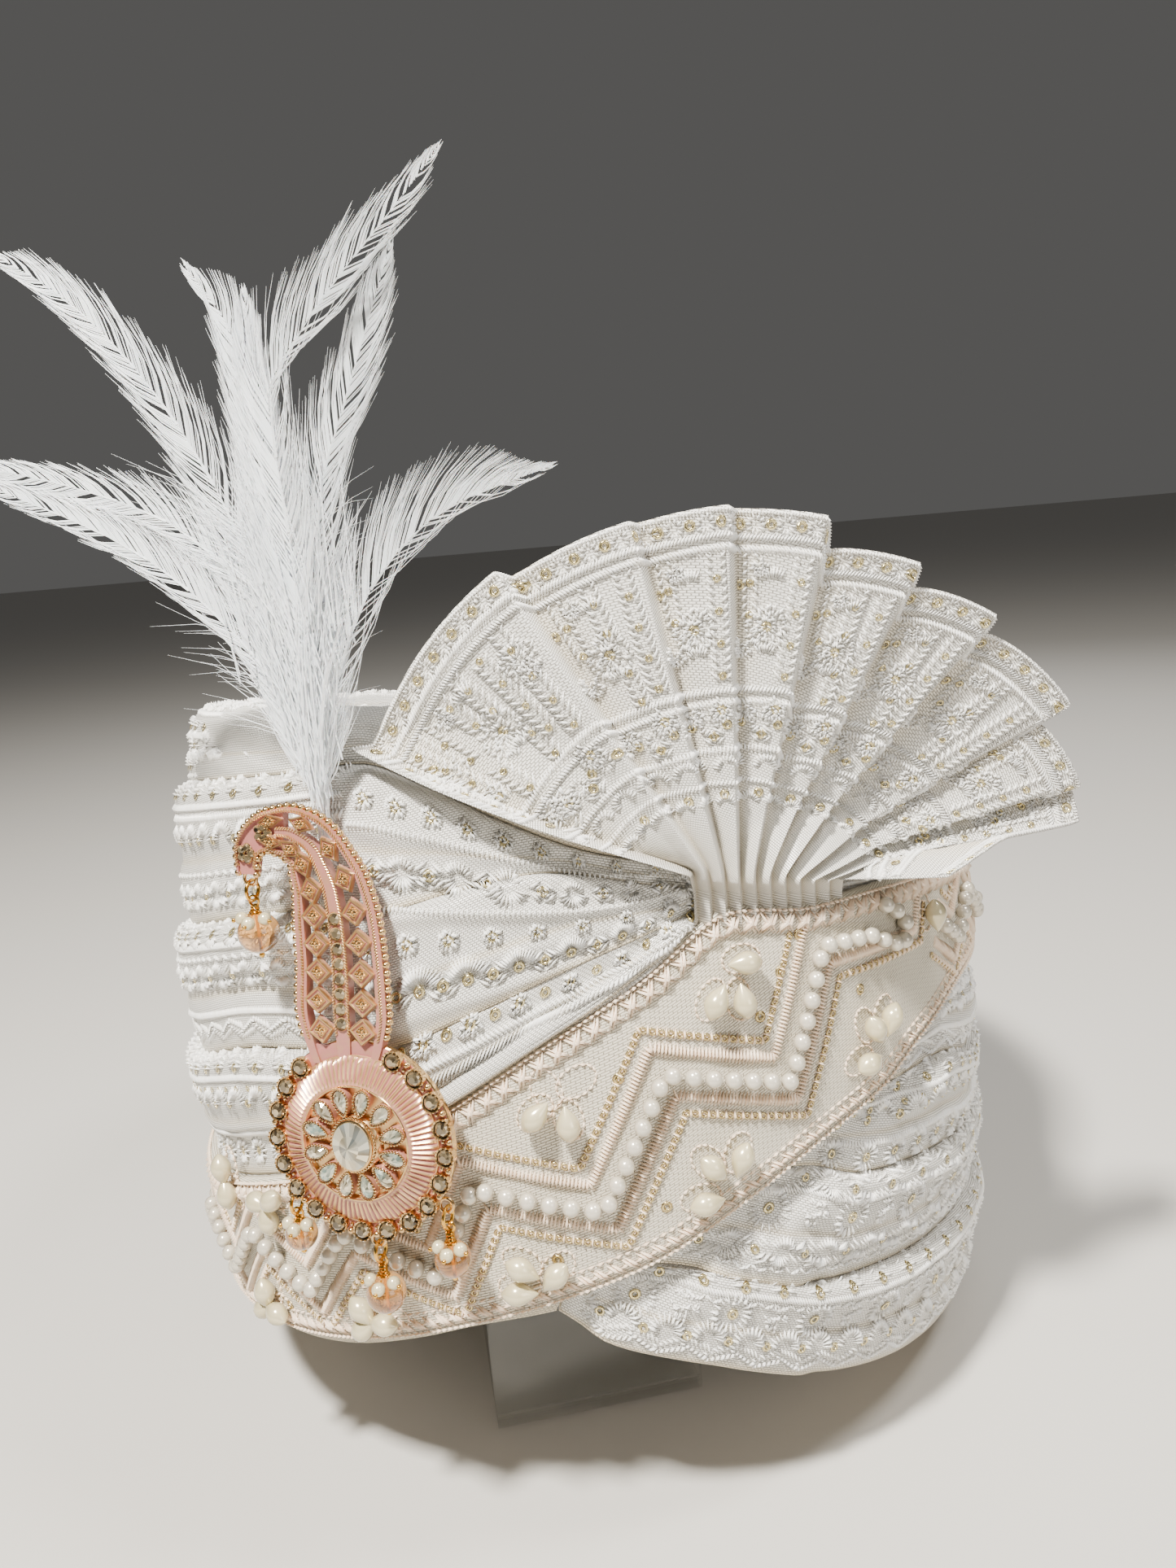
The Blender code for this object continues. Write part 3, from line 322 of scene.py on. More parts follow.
def woven(name, light, dark, crease_shade_colour, grain, row, rough, sheen, height):
    """A satin weave: rows of short floats, each a rounded grain, over UVs in millimetres, with painted shade
    in the gaps between floats and a warmer painted shade in creases and folds.
    """
    made = new_material(name)
    place = add_node(made, "UVMap", "UV", uv_map="UVMap")
    bricks = {"Vector": place, "Scale": 1.0, "Brick Width": grain, "Row Height": row}
    bricks |= {"Mortar Size": row * 0.22, "Mortar Smooth": 1.0}
    floats = add_node(made, "TexBrick", "Fac", bricks, offset=0.5)
    thick_and_thin = {"Vector": place, "Scale": 0.09, "Detail": 4.0, "Roughness": 0.6}
    slub = add_node(made, "TexNoise", "Fac", thick_and_thin)
    # Painted shade: where the per-point crease value is high, the cloth's colour is multiplied by a warmer,
    # darker colour, as shade in creases and folds
    painted_crease_shade = add_node(made, "Attribute", "Fac", attribute_name="painted_crease_shade")
    # Painted shade: the gaps between floats take the darker colour; the bump below gives the real relief
    between = add_node(made, "Mix", "Result", {"Factor": floats, "A": light, "B": dark}, data_type="RGBA")
    crease_shading = {"Factor": painted_crease_shade, "A": between, "B": crease_shade_colour}
    crease_shaded_weave = add_node(made, "Mix", "Result", crease_shading, data_type="RGBA", blend_type="MULTIPLY")
    value = add_node(made, "MapRange", "Result", {"Value": slub, "To Min": 0.95, "To Max": 1.04})
    cloudy = add_node(made, "HueSaturation", "Color", {"Color": crease_shaded_weave, "Value": value})
    relief = {"Strength": height, "Distance": 0.0004, "Height": floats}
    bump = add_node(made, "Bump", "Normal", relief, invert=True)
    set_shader(made, Sheen_Weight=sheen, Sheen_Roughness=0.4, Anisotropic=0.4)
    return set_shader(made, Base_Color=cloudy, Roughness=rough, Normal=bump)


def floss(name, light, dark, rough):
    """Rayon floss: each stitch is a bundle of filaments, so it shines along fine lines."""
    made = new_material(name)
    place = add_node(made, "UVMap", "UV", uv_map="UVMap")
    waves = {"Vector": place, "Scale": 1.6, "Distortion": 1.2, "Detail": 1.0}
    filaments = add_node(made, "TexWave", "Fac", waves, bands_direction="Y")
    strand = add_node(made, "Attribute", "Fac", attribute_name="shade")
    colour = add_node(made, "Mix", "Result", {"Factor": strand, "A": dark, "B": light}, data_type="RGBA")
    bump = add_node(made, "Bump", "Normal", {"Strength": 0.5, "Distance": 0.0001, "Height": filaments})
    set_shader(made, Sheen_Weight=0.2, Anisotropic=0.5)
    return set_shader(made, Base_Color=colour, Roughness=rough, Normal=bump)


def metal(name, light, dark, rough, scale=900.0):
    """Plated metal: bright with small cloudy changes of tone and fine tooling marks."""
    made = new_material(name)
    cloud, colour = clouded(made, light, dark, scale, 3.0)
    bump = add_node(made, "Bump", "Normal", {"Strength": 0.25, "Distance": 0.00008, "Height": cloud})
    spread_of = {"Value": cloud, "To Min": rough * 0.7, "To Max": rough * 1.4}
    rough = add_node(made, "MapRange", "Result", spread_of)
    return set_shader(made, Base_Color=colour, Metallic=1.0, Roughness=rough, Normal=bump)


def pearl_finish(name, light, dark, rim):
    """Acrylic pearl: a lacquered pearly coat over a cream core, with painted shade that turns it grey towards
    the edge.
    """
    made = new_material(name)
    # Painted shade: the colour turns to the rim colour as the surface faces away, darkening the pearl's edge
    edge = add_node(made, "LayerWeight", "Facing", {"Blend": 0.35})
    body = clouded(made, light, dark, 260.0, 2.0)[1]
    painted_edge_shaded_body = add_node(made, "Mix", "Result", {"Factor": edge, "A": body, "B": rim}, data_type="RGBA")
    set_shader(made, Base_Color=painted_edge_shaded_body, Roughness=0.22, Metallic=0.25)
    return set_shader(made, Coat_Weight=1.0, Coat_Roughness=0.04, Sheen_Weight=0.1)


def cut_glass(name, light, dark, tint, scale, metallic):
    """Foiled cut glass: glossy and partly metallic, with each cut face painted light or dark at random as
    painted glints and dark reflections, so the stone sparkles from any side.
    """
    made = new_material(name)
    # Painted glints and dark reflections: a random value per cut face picks between the light and the dark
    # colour
    facet_glint = add_node(made, "Attribute", "Fac", attribute_name="facet_glint")
    colour = add_node(made, "Mix", "Result", {"Factor": facet_glint, "A": dark, "B": light}, data_type="RGBA")
    place = add_node(made, "TexCoord", "Object")
    aurora = add_node(made, "TexNoise", "Fac", {"Vector": place, "Scale": scale, "Detail": 1.0})
    reach = {"Value": aurora, "From Min": 0.45, "From Max": 0.75, "To Max": 0.6}
    share = add_node(made, "MapRange", "Result", reach)
    hue = add_node(made, "Mix", "Result", {"Factor": share, "A": colour, "B": tint}, data_type="RGBA")
    set_shader(made, Base_Color=hue, Metallic=metallic, Roughness=0.06)
    return set_shader(made, Coat_Weight=1.0, Coat_Roughness=0.02)


def enamelled(name, pink, deep_pink, gold):
    """Enamel over cast metal: rubbed through to light gold along the raised edges."""
    made = new_material(name)
    cloud, body = clouded(made, pink, deep_pink, 420.0, 4.0, Roughness=0.6)
    wear = add_node(made, "Attribute", "Fac", attribute_name="wear")
    rubbed = add_node(made, "Math", "Value", {0: wear, 1: cloud}, operation="MULTIPLY")
    share = add_node(made, "MapRange", "Result", {"Value": rubbed, "From Min": 0.12, "From Max": 0.42})
    colour = add_node(made, "Mix", "Result", {"Factor": share, "A": body, "B": gold}, data_type="RGBA")
    set_shader(made, Base_Color=colour, Metallic=share, Roughness=0.32)
    return set_shader(made, Coat_Weight=0.3, Coat_Roughness=0.2)


def clear_solid(name, colour, rough, ior, weight, tint_scale, tint, alpha=1.0):
    made = new_material(name)
    body = clouded(made, colour, tint, tint_scale, 2.0)[1]
    set_shader(made, Base_Color=body, Roughness=rough, IOR=ior, Alpha=alpha)
    return set_shader(made, Transmission_Weight=weight, Coat_Weight=1.0, Coat_Roughness=0.02)


def feather_white(name):
    """Goose down and hackle: matt white barbs, bluish where they are thin."""
    made = new_material(name)
    body = clouded(made, "#FBFCFD", "#E3E8EE", 70.0, 3.0)[1]
    set_shader(made, Base_Color=body, Roughness=0.55, Sheen_Weight=0.3)
    return set_shader(made, Subsurface_Weight=0.1, Subsurface_Scale=0.001)


# Each cloth: float colour, painted shade colour in the gaps between floats, painted crease shade colour, then
# float width, row height, roughness, sheen and bump height
# Satin floats are 0.25 mm apart on the real cloth; they are drawn twice as wide so that they show
white_satin = woven("satin weave viscose", "#F7F5EF", "#CFCAC0", "#F3E6CC", 1.1, 0.62, 0.30, 0.15, 1.0)
plain_lining = woven("cotton lining", "#EDE9E1", "#CFC9BD", "#E9DCC4", 0.6, 0.6, 0.8, 0.1, 0.5)
blush_tissue = woven("blush tissue weave", "#E6DECC", "#C0B49E", "#EBCBB0", 2.6, 0.7, 0.45, 0.2, 0.9)
white_floss = floss("white rayon floss", "#FFFFFE", "#F4F1EA", 0.24)
blush_floss = floss("blush rayon floss", "#FFEAD3", "#F6D8BA", 0.30)
feather = feather_white("bleached goose hackle")
# Each pearl: two core colours, then the rim colour, which is painted shade at the edge
pearl_white = pearl_finish("round acrylic pearl", "#E9E2D3", "#DCD3C0", "#8E836D")
pearl_cream = pearl_finish("cream drop pearl", "#EBE1BE", "#DFD2A6", "#94865C")
sequin_gold = metal("clear gold sequin foil", "#EFE2B4", "#CDBB85", 0.22, 300.0)
couch_gold = metal("antique gold sequin foil", "#E8D7A6", "#A48D58", 0.24, 500.0)
gold_plate = metal("gold plated wire", "#F3C566", "#D89E3C", 0.18)
rose_gold = metal("rubbed light gold", "#EFCF98", "#BE9462", 0.22)
enamel = enamelled("pink enamel on cast metal", "#B97A72", "#965A57", "#E5BE84")
# Each stone: painted glint colour, painted dark reflection colour, aurora tint, tint scale and metallic share
smoky_stone = cut_glass("foiled smoky stone", "#C8B38C", "#1E1812", "#7C6A50", 300.0, 0.75)
aurora_stone = cut_glass("aurora cut glass", "#F2E6C8", "#5A4E36", "#A4CFCB", 220.0, 0.6)
champagne_stone = cut_glass("champagne crystal", "#F6E9C8", "#4A3C24", "#B4CAD2", 180.0, 0.65)
# Hollow-blown glass with an amber flash: clear, warm below and mirror bright where it is washed
amber_glass = clear_solid("amber flashed glass", "#F2C488", 0.02, 1.5, 0.88, 120.0, "#DE9648")
# Cast acrylic sheet with flame polished edges: water clear with a faint cool cast
acrylic = clear_solid("cast acrylic sheet", "#FBFEFD", 0.01, 1.49, 1.0, 20.0, "#F3FAF9", 0.3)


# Meshes from nets of points


def finish_piece(thing, slot, *nodes):
    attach(thing, "root")
    if nodes:
        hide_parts(*nodes)
    return thing


def link_mesh(name, points, faces, materials):
    mesh = bpy.data.meshes.new(name)
    mesh.from_pydata(np.asarray(points).reshape(-1, 3).tolist(), [], faces)
    thing = bpy.data.objects.new(name, mesh)
    bpy.context.scene.collection.objects.link(thing)
    for made in materials:
        mesh.materials.append(made)
    mesh.shade_smooth()
    return thing


def set_values(mesh, name, values):
    spot = mesh.attributes.new(name, "FLOAT", "POINT")
    spot.data.foreach_set("value", np.asarray(values, np.float32).ravel())


def skin(name, net, materials, closed=False, painted_crease_shade=None, lining=None):
    """A closed body through rings of points (station, place in the ring), with UVs in millimetres."""
    stations, ring = net.shape[:2]
    points = net.reshape(-1, 3)
    index = np.arange(stations * ring).reshape(stations, ring)
    spans = stations if closed else stations - 1
    here = index[:spans]
    there = np.roll(index, -1, 0)[:spans]
    quads = np.stack([here, there, np.roll(there, -1, 1), np.roll(here, -1, 1)], -1).reshape(-1, 4)
    around = np.linalg.norm(np.roll(net, -1, 1) - net, axis=2)
    rise = np.concatenate([np.zeros((stations, 1)), np.cumsum(around, 1)], 1) / MM
    middle = net[:, ring // 4]
    run = run_along(np.concatenate([middle, middle[:1]])) / MM
    j = np.arange(ring)
    uv = np.empty((spans, ring, 4, 2))
    after = np.roll(rise, -1, 0)[:spans]
    uv[:, :, [0, 3], 0] = run[:spans, None, None]
    uv[:, :, [1, 2], 0] = run[1 : spans + 1, None, None]
    for corner, level in enumerate((rise[:spans, j], after[:, j], after[:, j + 1], rise[:spans, j + 1])):
        uv[:, :, corner, 1] = level
    faces = quads.tolist()
    ends = 0
    if not closed:
        faces.append(index[0].tolist())
        faces.append(index[-1][::-1].tolist())
        ends = 2 * ring
    thing = link_mesh(name, points, faces, materials)
    mesh = thing.data
    layer = mesh.uv_layers.new(name="UVMap")
    flat = np.concatenate([uv.ravel(), np.zeros(ends * 2)])
    layer.data.foreach_set("uv", flat)
    # Painted shade: per-point values that tell the cloth's material where to paint its warmer, darker crease
    # colour
    if painted_crease_shade is not None:
        set_values(mesh, "painted_crease_shade", painted_crease_shade)
    if lining is not None:
        slots = np.zeros(len(mesh.polygons), np.int32)
        slots[: spans * ring] = np.tile(lining.astype(np.int32), spans)
        mesh.polygons.foreach_set("material_index", slots)
    turn_outward(mesh)
    return thing


def turn_outward(mesh):
    form = bmesh.new()
    form.from_mesh(mesh)
    bmesh.ops.recalc_face_normals(form, faces=form.faces)
    form.to_mesh(mesh)
    form.free()


class Face:
    """The outer side of a cloth: a net of points, with u along it and v across it, both 0 to 1."""

    def __init__(self, net, closed=False, facing=None):
        if closed:
            net = np.concatenate([net, net[:1]])
        self.net = net
        along = np.gradient(net, axis=0)
        across = np.gradient(net, axis=1)
        normal = np.cross(along, across)
        normal /= np.linalg.norm(normal, axis=2, keepdims=True) + 1e-12
        way = net * (1, 1, 0) if facing is None else np.broadcast_to(facing, net.shape)
        sign = np.sign(np.sum(normal * way, 2, keepdims=True).mean())
        self.normal = normal * sign

    def blend(self, table, u, v):
        rows, columns = table.shape[0] - 1, table.shape[1] - 1
        x = np.clip(u, 0, 1) * rows
        y = np.clip(v, 0, 1) * columns
        i = np.minimum(x.astype(int), rows - 1)
        j = np.minimum(y.astype(int), columns - 1)
        s, t = (x - i)[..., None], (y - j)[..., None]
        low = table[i, j] * (1 - s) + table[i + 1, j] * s
        high = table[i, j + 1] * (1 - s) + table[i + 1, j + 1] * s
        return low * (1 - t) + high * t

    def place(self, u, v, lift):
        return self.blend(self.net, u, v) + self.blend(self.normal, u, v) * lift[..., None]

    def stretch(self, u, v):
        """Metres for a whole step of u and of v at places."""
        d = 0.002
        u, v = np.clip(u, 0, 1), np.clip(v, 0, 1)
        along = self.place(u + d, v, u * 0) - self.place(u - d, v, u * 0)
        across = self.place(u, v + d * 4, u * 0) - self.place(u, v - d * 4, u * 0)
        span_u = np.clip(u + d, 0, 1) - np.clip(u - d, 0, 1)
        span_v = np.clip(v + d * 4, 0, 1) - np.clip(v - d * 4, 0, 1)
        return (
            np.linalg.norm(along, axis=-1) / span_u + 1e-6,
            np.linalg.norm(across, axis=-1) / span_v + 1e-6,
        )


# Embroidery: one stitch is modelled and laid down many times


def deselect():
    if bpy.context.object and bpy.context.object.mode != "OBJECT":
        bpy.ops.object.mode_set(mode="OBJECT")
    bpy.ops.object.select_all(action="DESELECT")


def take_form(thing):
    """The points and faces of a modelled form, which is then put away."""
    mesh = thing.data
    points = np.array([v.co[:] for v in mesh.vertices])
    faces = [list(p.vertices) for p in mesh.polygons]
    bpy.data.objects.remove(thing, do_unlink=True)
    return points, faces


def model_stitch():
    """A plump stitch, one unit long, wide and high, that lies along X with its foot at Z = 0."""
    deselect()
    bpy.ops.mesh.primitive_cone_add(
        vertices=4, radius1=0.5, radius2=0, depth=0.5, location=(0.25, 0, 0), rotation=(0, math.pi / 2, 0)
    )
    thing = bpy.context.object
    bpy.ops.object.transform_apply(location=True, rotation=True, scale=True)
    form = bmesh.new()
    form.from_mesh(thing.data)
    form.faces.ensure_lookup_table()
    base = next(f for f in form.faces if len(f.verts) == 4)
    bmesh.ops.poke(form, faces=[base])
    centre = next(v for v in form.verts if abs(v.co.x) < 1e-6 and v.co.length < 1e-6)
    centre.co.x = -0.5
    for v in form.verts:
        v.co.z = v.co.z * 1.15 + 0.32 if abs(v.co.x) < 0.4 else 0.0
    form.to_mesh(thing.data)
    form.free()
    return take_form(thing)


def edit_all():
    """Goes into edit mode with everything selected."""
    bpy.ops.object.mode_set(mode="EDIT")
    bpy.ops.mesh.select_all(action="SELECT")


def model_sequin():
    """A cupped sequin, one unit across, with its hole."""
    deselect()
    bpy.ops.mesh.primitive_torus_add(
        major_radius=0.34, minor_radius=0.16, major_segments=9, minor_segments=4
    )
    thing = bpy.context.object
    edit_all()
    bpy.ops.transform.resize(value=(1, 1, 0.45))
    bpy.ops.transform.translate(value=(0, 0, 0.12))
    bpy.ops.object.mode_set(mode="OBJECT")
    return take_form(thing)


# Share by which the stitches of a line differ in turn and length
UNEVEN = 0.06
# How far stitches and sequins are set into the cloth, in metres; sequins lie a little above it
STITCH_SINK = 0.00012
SEQUIN_SINK = -0.0002
PANEL_SEQUIN_SINK = -0.0003
STITCH = model_stitch()
SEQUIN = model_sequin()
dice = np.random.default_rng(7)


def repeated(faces, count, size):
    """The faces of many copies of a form, in one list."""
    return [[k + i * size for k in f] for i in range(count) for f in faces]


def lay(name, face, form, rows, made, slot, sink=STITCH_SINK):
    """One piece from a form at rows of u, v, turn in degrees, length, width and height in metres."""
    points, faces = form
    u, v, turn, length, width, height = np.concatenate(rows).T
    stretch_u, stretch_v = face.stretch(u, v)
    cos, sin = np.cos(np.radians(turn)), np.sin(np.radians(turn))
    x = points[None, :, 0] * length[:, None]
    y = points[None, :, 1] * width[:, None]
    spot_u = u[:, None] + (x * cos[:, None] - y * sin[:, None]) / stretch_u[:, None]
    spot_v = v[:, None] + (x * sin[:, None] + y * cos[:, None]) / stretch_v[:, None]
    lift = points[None, :, 2] * height[:, None] - sink
    placed = face.place(spot_u, spot_v, lift)
    count, size = len(u), len(points)
    thing = link_mesh(name, placed, repeated(faces, count, size), [made])
    loops = np.array([k for f in faces for k in f])
    uv = np.stack([x[:, loops], y[:, loops]], -1) / MM
    thing.data.uv_layers.new(name="UVMap").data.foreach_set("uv", uv.ravel())
    set_values(thing.data, "shade", np.repeat(dice.uniform(0.2, 1.0, count), size))
    return finish_piece(thing, slot)


def spokes(count, inner, outer, first, last, width):
    """A motif of straight stitches out from a point: x, y, turn, length and width in millimetres."""
    rows = []
    closed = abs(last - first) >= 359
    for i in range(count):
        turn = lerp(first, last, i / count if closed else i / (count - 1))
        middle = (inner + outer) / 2
        a = math.radians(turn)
        rows.append((middle * math.cos(a), middle * math.sin(a), turn, outer - inner, width))
    return rows


def lozenge(wide, high, width):
    """A stitched diamond outline."""
    rows = []
    reach = math.hypot(wide, high) / 2
    lean = math.degrees(math.atan2(high, wide))
    for sx, sy, turn in ((1, 1, -lean), (-1, 1, lean), (-1, -1, -lean), (1, -1, lean)):
        rows.append((sx * wide / 4, sy * high / 4, turn, reach * 1.04, width))
        rows.append((sx * wide / 6.5, sy * high / 6.5, turn, reach * 0.62, width * 0.8))
    return rows


def sprig(length, pairs, leaf, lean, width):
    """A fern sprig along +X: a stem and slanting leaves on both sides."""
    rows = []
    for i in range(pairs):
        x = lerp(-0.42, 0.42, i / (pairs - 1)) * length
        size = leaf * (1 - 0.45 * i / (pairs - 1))
        for side in (-1, 1):
            a = math.radians(side * lean)
            y = size / 2 * math.sin(a) + side * 0.2
            rows.append((x + size / 2 * math.cos(a), y, side * lean, size, width))
    rows.append((length * 0.5 + leaf * 0.2, 0, 0, leaf * 0.9, width))
    return rows


def blossom(count, reach, seed):
    """A loose flower of short crossing stitches."""
    chance = np.random.default_rng(seed)
    rows = []
    for _ in range(count):
        r = reach * math.sqrt(chance.uniform(0.02, 1))
        a = chance.uniform(0, 2 * math.pi)
        turn = math.degrees(a) + chance.uniform(-55, 55)
        rows.append((r * math.cos(a), r * math.sin(a), turn, chance.uniform(1.6, 3.0), 0.65))
    return rows


def stitches(u, v, turn, length, width, height):
    """Rows for lay, with length, width and height in millimetres."""
    rows = np.broadcast_arrays(u, v, turn, length * MM, width * MM, height * MM)
    return np.atleast_2d(np.stack(rows, -1))


def stamp(face, motif, places, height=0.6):
    """Rows for lay from a motif at places of u, v, turn and size."""
    x, y, way, length, width = np.asarray(motif, float).T
    u, v, turn, size = np.asarray(places, float).T[..., None]
    stretch_u, stretch_v = face.stretch(u, v)
    cos, sin = np.cos(np.radians(turn)), np.sin(np.radians(turn))
    u = u + (x * cos - y * sin) * MM * size / stretch_u
    v = v + (x * sin + y * cos) * MM * size / stretch_v
    return stitches(u, v, way + turn, length * size, width * np.sqrt(size), height).reshape(-1, 6)


def spread(face, v, pitch, start=0.0, end=1.0, shift=0.0):
    """Places of u, evenly apart in millimetres along a line of the cloth."""
    fine = np.linspace(start, end, 1500)
    level = np.interp(fine, np.linspace(0, 1, len(v)), v) if np.ndim(v) else fine * 0 + v
    run = run_along(face.place(fine, level, fine * 0)) / MM
    spots = np.arange(pitch * (0.5 + shift), run[-1], pitch)
    u = np.interp(spots, run, fine)
    return u, np.interp(u, fine, level)


def line_of(face, v, pitch, turn, length, width, height=0.6, end=1.0):
    """A line of stitches side by side, such as a rope edge."""
    u, level = spread(face, v, pitch, end=end)
    chance = dice.uniform(-1, 1, len(u)) * UNEVEN
    return stitches(u, level, turn * (1 + chance), length * (1 + np.roll(chance, 3)), width, height)


def row_of(face, motif, v, pitch, turn=0, size=1.0, shift=0.0, height=0.6, end=1.0):
    """A motif repeated along a line of the cloth."""
    u, level = spread(face, v, pitch, 0.0, end, shift)
    return stamp(face, motif, np.stack([u, level, u * 0 + turn, u * 0 + size], 1), height)


def sequins_at(face, v, pitch, size=2.4, shift=0.0, end=1.0):
    u, level = spread(face, v, pitch, 0.0, end, shift)
    return stitches(u, level, dice.uniform(0, 40, len(u)), size, size, 1.3)


def keep_room(face, rows):
    """Leaves out stitches where the cloth is too narrow or pressed under the band."""
    u, v = rows[:, 0], rows[:, 1]
    wide = face.stretch(u, v)[1] > ROOM_FOR_SEWING
    x, y, z = face.place(u, v, u * 0).T
    angle = -np.degrees(np.arctan2(x / CROWN_HALF_WIDTH, -y / CROWN_HALF_DEPTH))
    low, high = band_edges(angle)
    inside = (angle > BAND_ROWS[0][0]) & (angle < BAND_ROWS[-1][0])
    covered = inside & (z > low + 2 * MM) & (z < high - 2 * MM)
    panel = (angle < PANEL_LEFT) & (angle > -30) & (z > high)
    return rows[wide & ~covered & ~panel]


# Wraps

STATIONS = 360
RISE_STEPS = 36
ROOM_FOR_SEWING = 0.017
# The lowest wrap's end runs on under the band's edge by this many degrees, up to its own start
RUN_ON = 2.7
ROLL_V = np.linspace(0, 1, RISE_STEPS)


def tied(angle, v, number):
    """Small uneven pulls that tying leaves in the cloth, in metres."""
    a = np.radians(angle)
    return MM * (
        0.35 * np.sin(5 * a + 7 * v + number * 1.7)
        + 0.28 * np.sin(11 * a - 9 * v + number * 2.9)
        + 0.20 * np.sin(23 * a + 5 * v + number * 0.6)
        + 0.16 * np.sin(41 * a - 14 * v + number)
    )


def satin_lip(angle, z):
    """The rolled satin edge that lies along the top of the band in front."""
    turned = to_front(angle)
    above = (z - band_edges(turned)[1]) / MM
    along = fade((turned + 28) / 4) * (1 - fade((turned - 12) / 10))
    wide = 5.4
    hump = np.sin(np.pi * np.clip((above + 1.8) / (wide + 1.8), 0, 1)) ** 0.45
    lines = 0.16 * np.sin(2 * np.pi * above / 1.1)
    return MM * along * np.where((above > -1.8) & (above < wide), 3.1 * hump + lines, 0)


# Ridges that fan out from the knot over the front panel: share of its height, width and rise
FRONT_RIDGES = (
    (0.145, 0.035, 1.0), (0.33, 0.035, 1.1), (0.47, 0.04, 0.9), (0.64, 0.035, 1.3), (0.86, 0.04, 1.2),
)
PANEL_LEFT = 15.0
PANEL_RIGHT = -25.5


def in_front(angle):
    """1 on the front panel between the brooch and the knot, 0 elsewhere."""
    turned = to_front(angle)
    return fade((PANEL_LEFT + 3 - turned) / 7) * fade((turned + 36) / 4)


def front_ridges(angle, z):
    turned = np.clip(to_front(angle), -29, 40)
    low, high = band_edges(turned)[1], crease_height("1_2", turned)
    share = (z - low) / (high - low)
    rise = sum(tall * np.exp(-(((share - middle) / wide) ** 2)) for middle, wide, tall in FRONT_RIDGES)
    return MM * rise * np.clip((high - low) / 0.05, 0.3, 1)


def roll_surface(angle, z, v, height, number):
    profile, front = smooth(ROLL_PROFILE, v), in_front(angle)
    profile = lerp(profile, 0.55 + 0.35 * profile, front)
    full = ROLL_BULGE * profile * np.minimum(1, height / ROLL_FULL_HEIGHT)
    full = full + tied(angle, v, number) * np.sin(np.pi * v) ** 0.5 * (1 - 0.6 * front)
    turned = to_front(angle)
    above = (z - band_edges(turned)[1]) / MM
    pressed = under_band(angle, z) * (1 - front * fade(above + 1.8))
    out = lerp(full + front_ridges(angle, z) * front, -UNDER_BAND_RECESS, pressed)
    if number == 4:
        out = out + satin_lip(angle, z)
    room = 2.8 + 2.0 * np.maximum(0, above) + 20 * (1 - front)
    under_knot = fade((-21.5 - turned) / 3) * fade((turned + 46) / 3) * fade((9 - above) / 3)
    room = lerp(room, 0.8, under_knot)
    out = np.where(above > -3, np.minimum(out, room * MM), out)
    return crown_point(angle, z, out)


def wrap_net(number):
    low_name, high_name = WRAP_EDGES[number]
    t = np.linspace(0, 1, STATIONS)[:, None]
    low_angle, low_z = crease(low_name, t)
    high_angle, high_z = crease(high_name, t)
    v = ROLL_V[None]
    if number == 6:
        run_on = RUN_ON * np.clip((t - 0.96) / 0.04, 0, 1)
        low_angle, high_angle = low_angle + run_on, high_angle + run_on
    angle = lerp(low_angle, high_angle, v)
    z = lerp(low_z, high_z, v)
    outer = roll_surface(angle, z, v, high_z - low_z, number)
    inner_top = head_point(high_angle[:, 0], high_z[:, 0])
    inner_low = head_point(low_angle[:, 0], low_z[:, 0])
    turns = ((outer[:, -1], inner_top, 0.5), (outer[:, -1], inner_top, 1.0))
    turns += ((inner_top, inner_low, 0.5), (inner_top, inner_low, 1.0), (inner_low, outer[:, 0], 0.5))
    return outer, np.concatenate([outer, *(lerp(*turn)[:, None] for turn in turns)], 1)


def top_net():
    """The uppermost wrap is a closed ring that rolls over a rounded top onto the cap's ledge."""
    t = np.linspace(0, 1, STATIONS, endpoint=False)[:, None]
    start = seam_angle(CREASE_ENDS["1_2"][0])
    angle = start + 360 * t
    _, z_low = crease("1_2", np.clip(t * 360 / (360 - SEAM_GAP), 0, 1))
    low, high = z_low + GAP / 2, crown_top(angle)
    v = ROLL_V[None]
    bulge = smooth(((0, 0), (0.05, 0.2), (0.3, 0.52), (0.42, 0.60), (0.5, 0.55), (0.8, 0.9), (1, 0.8)), v)
    height = high - low
    out = ROLL_BULGE * bulge * np.minimum(1, height / ROLL_FULL_HEIGHT)
    out = out + tied(angle, v, 1) * np.sin(np.pi * v * 0.9) ** 0.5
    z = lerp(low, high - 3.2 * MM, v)
    outer = crown_point(angle, z, out)
    rows = [outer]
    for back, drop in ((1.2, 1.4), (3.2, 0.3), (5.6, 0.0), (8.5, 0.5), (12.0, 1.3)):
        pull = 0.45 * MM * np.sin(np.radians(angle) * 31 + back * 0.4) * (back > 1.5)
        rows.append(crown_point(angle, high - drop * MM + pull, out[:, -1:] - back * MM))
    for out_by, drop in ((6.0, 2.2), (3.4, 4.2)):
        rows.append(head_point(angle, high - drop * MM, out_by * MM + GAP))
    seat = high - CAP_DROP
    foot = head_point(angle, low)
    rows += [head_point(angle, seat, CAP_LEDGE), head_point(angle, seat), foot, lerp(foot, outer[:, :1], 0.5)]
    return outer, np.concatenate(rows, 1)


def painted_roll_crease_shade(net, count):
    """Painted shade: 1 in a crease between two rolls and 0 on the roll, where the cloth is painted a warmer,
    darker colour; the inner rows from the seventh past the roll get 0.4 of it.
    """
    ring = net.shape[1]
    v = np.zeros(ring)
    v[:count] = np.exp(-((ROLL_V / 0.07) ** 2)) + 0.6 * np.exp(-(((ROLL_V - 0.465) / 0.03) ** 2))
    v[count + 6 :] = 0.4
    return np.tile(np.clip(v, 0, 1), (net.shape[0], 1))


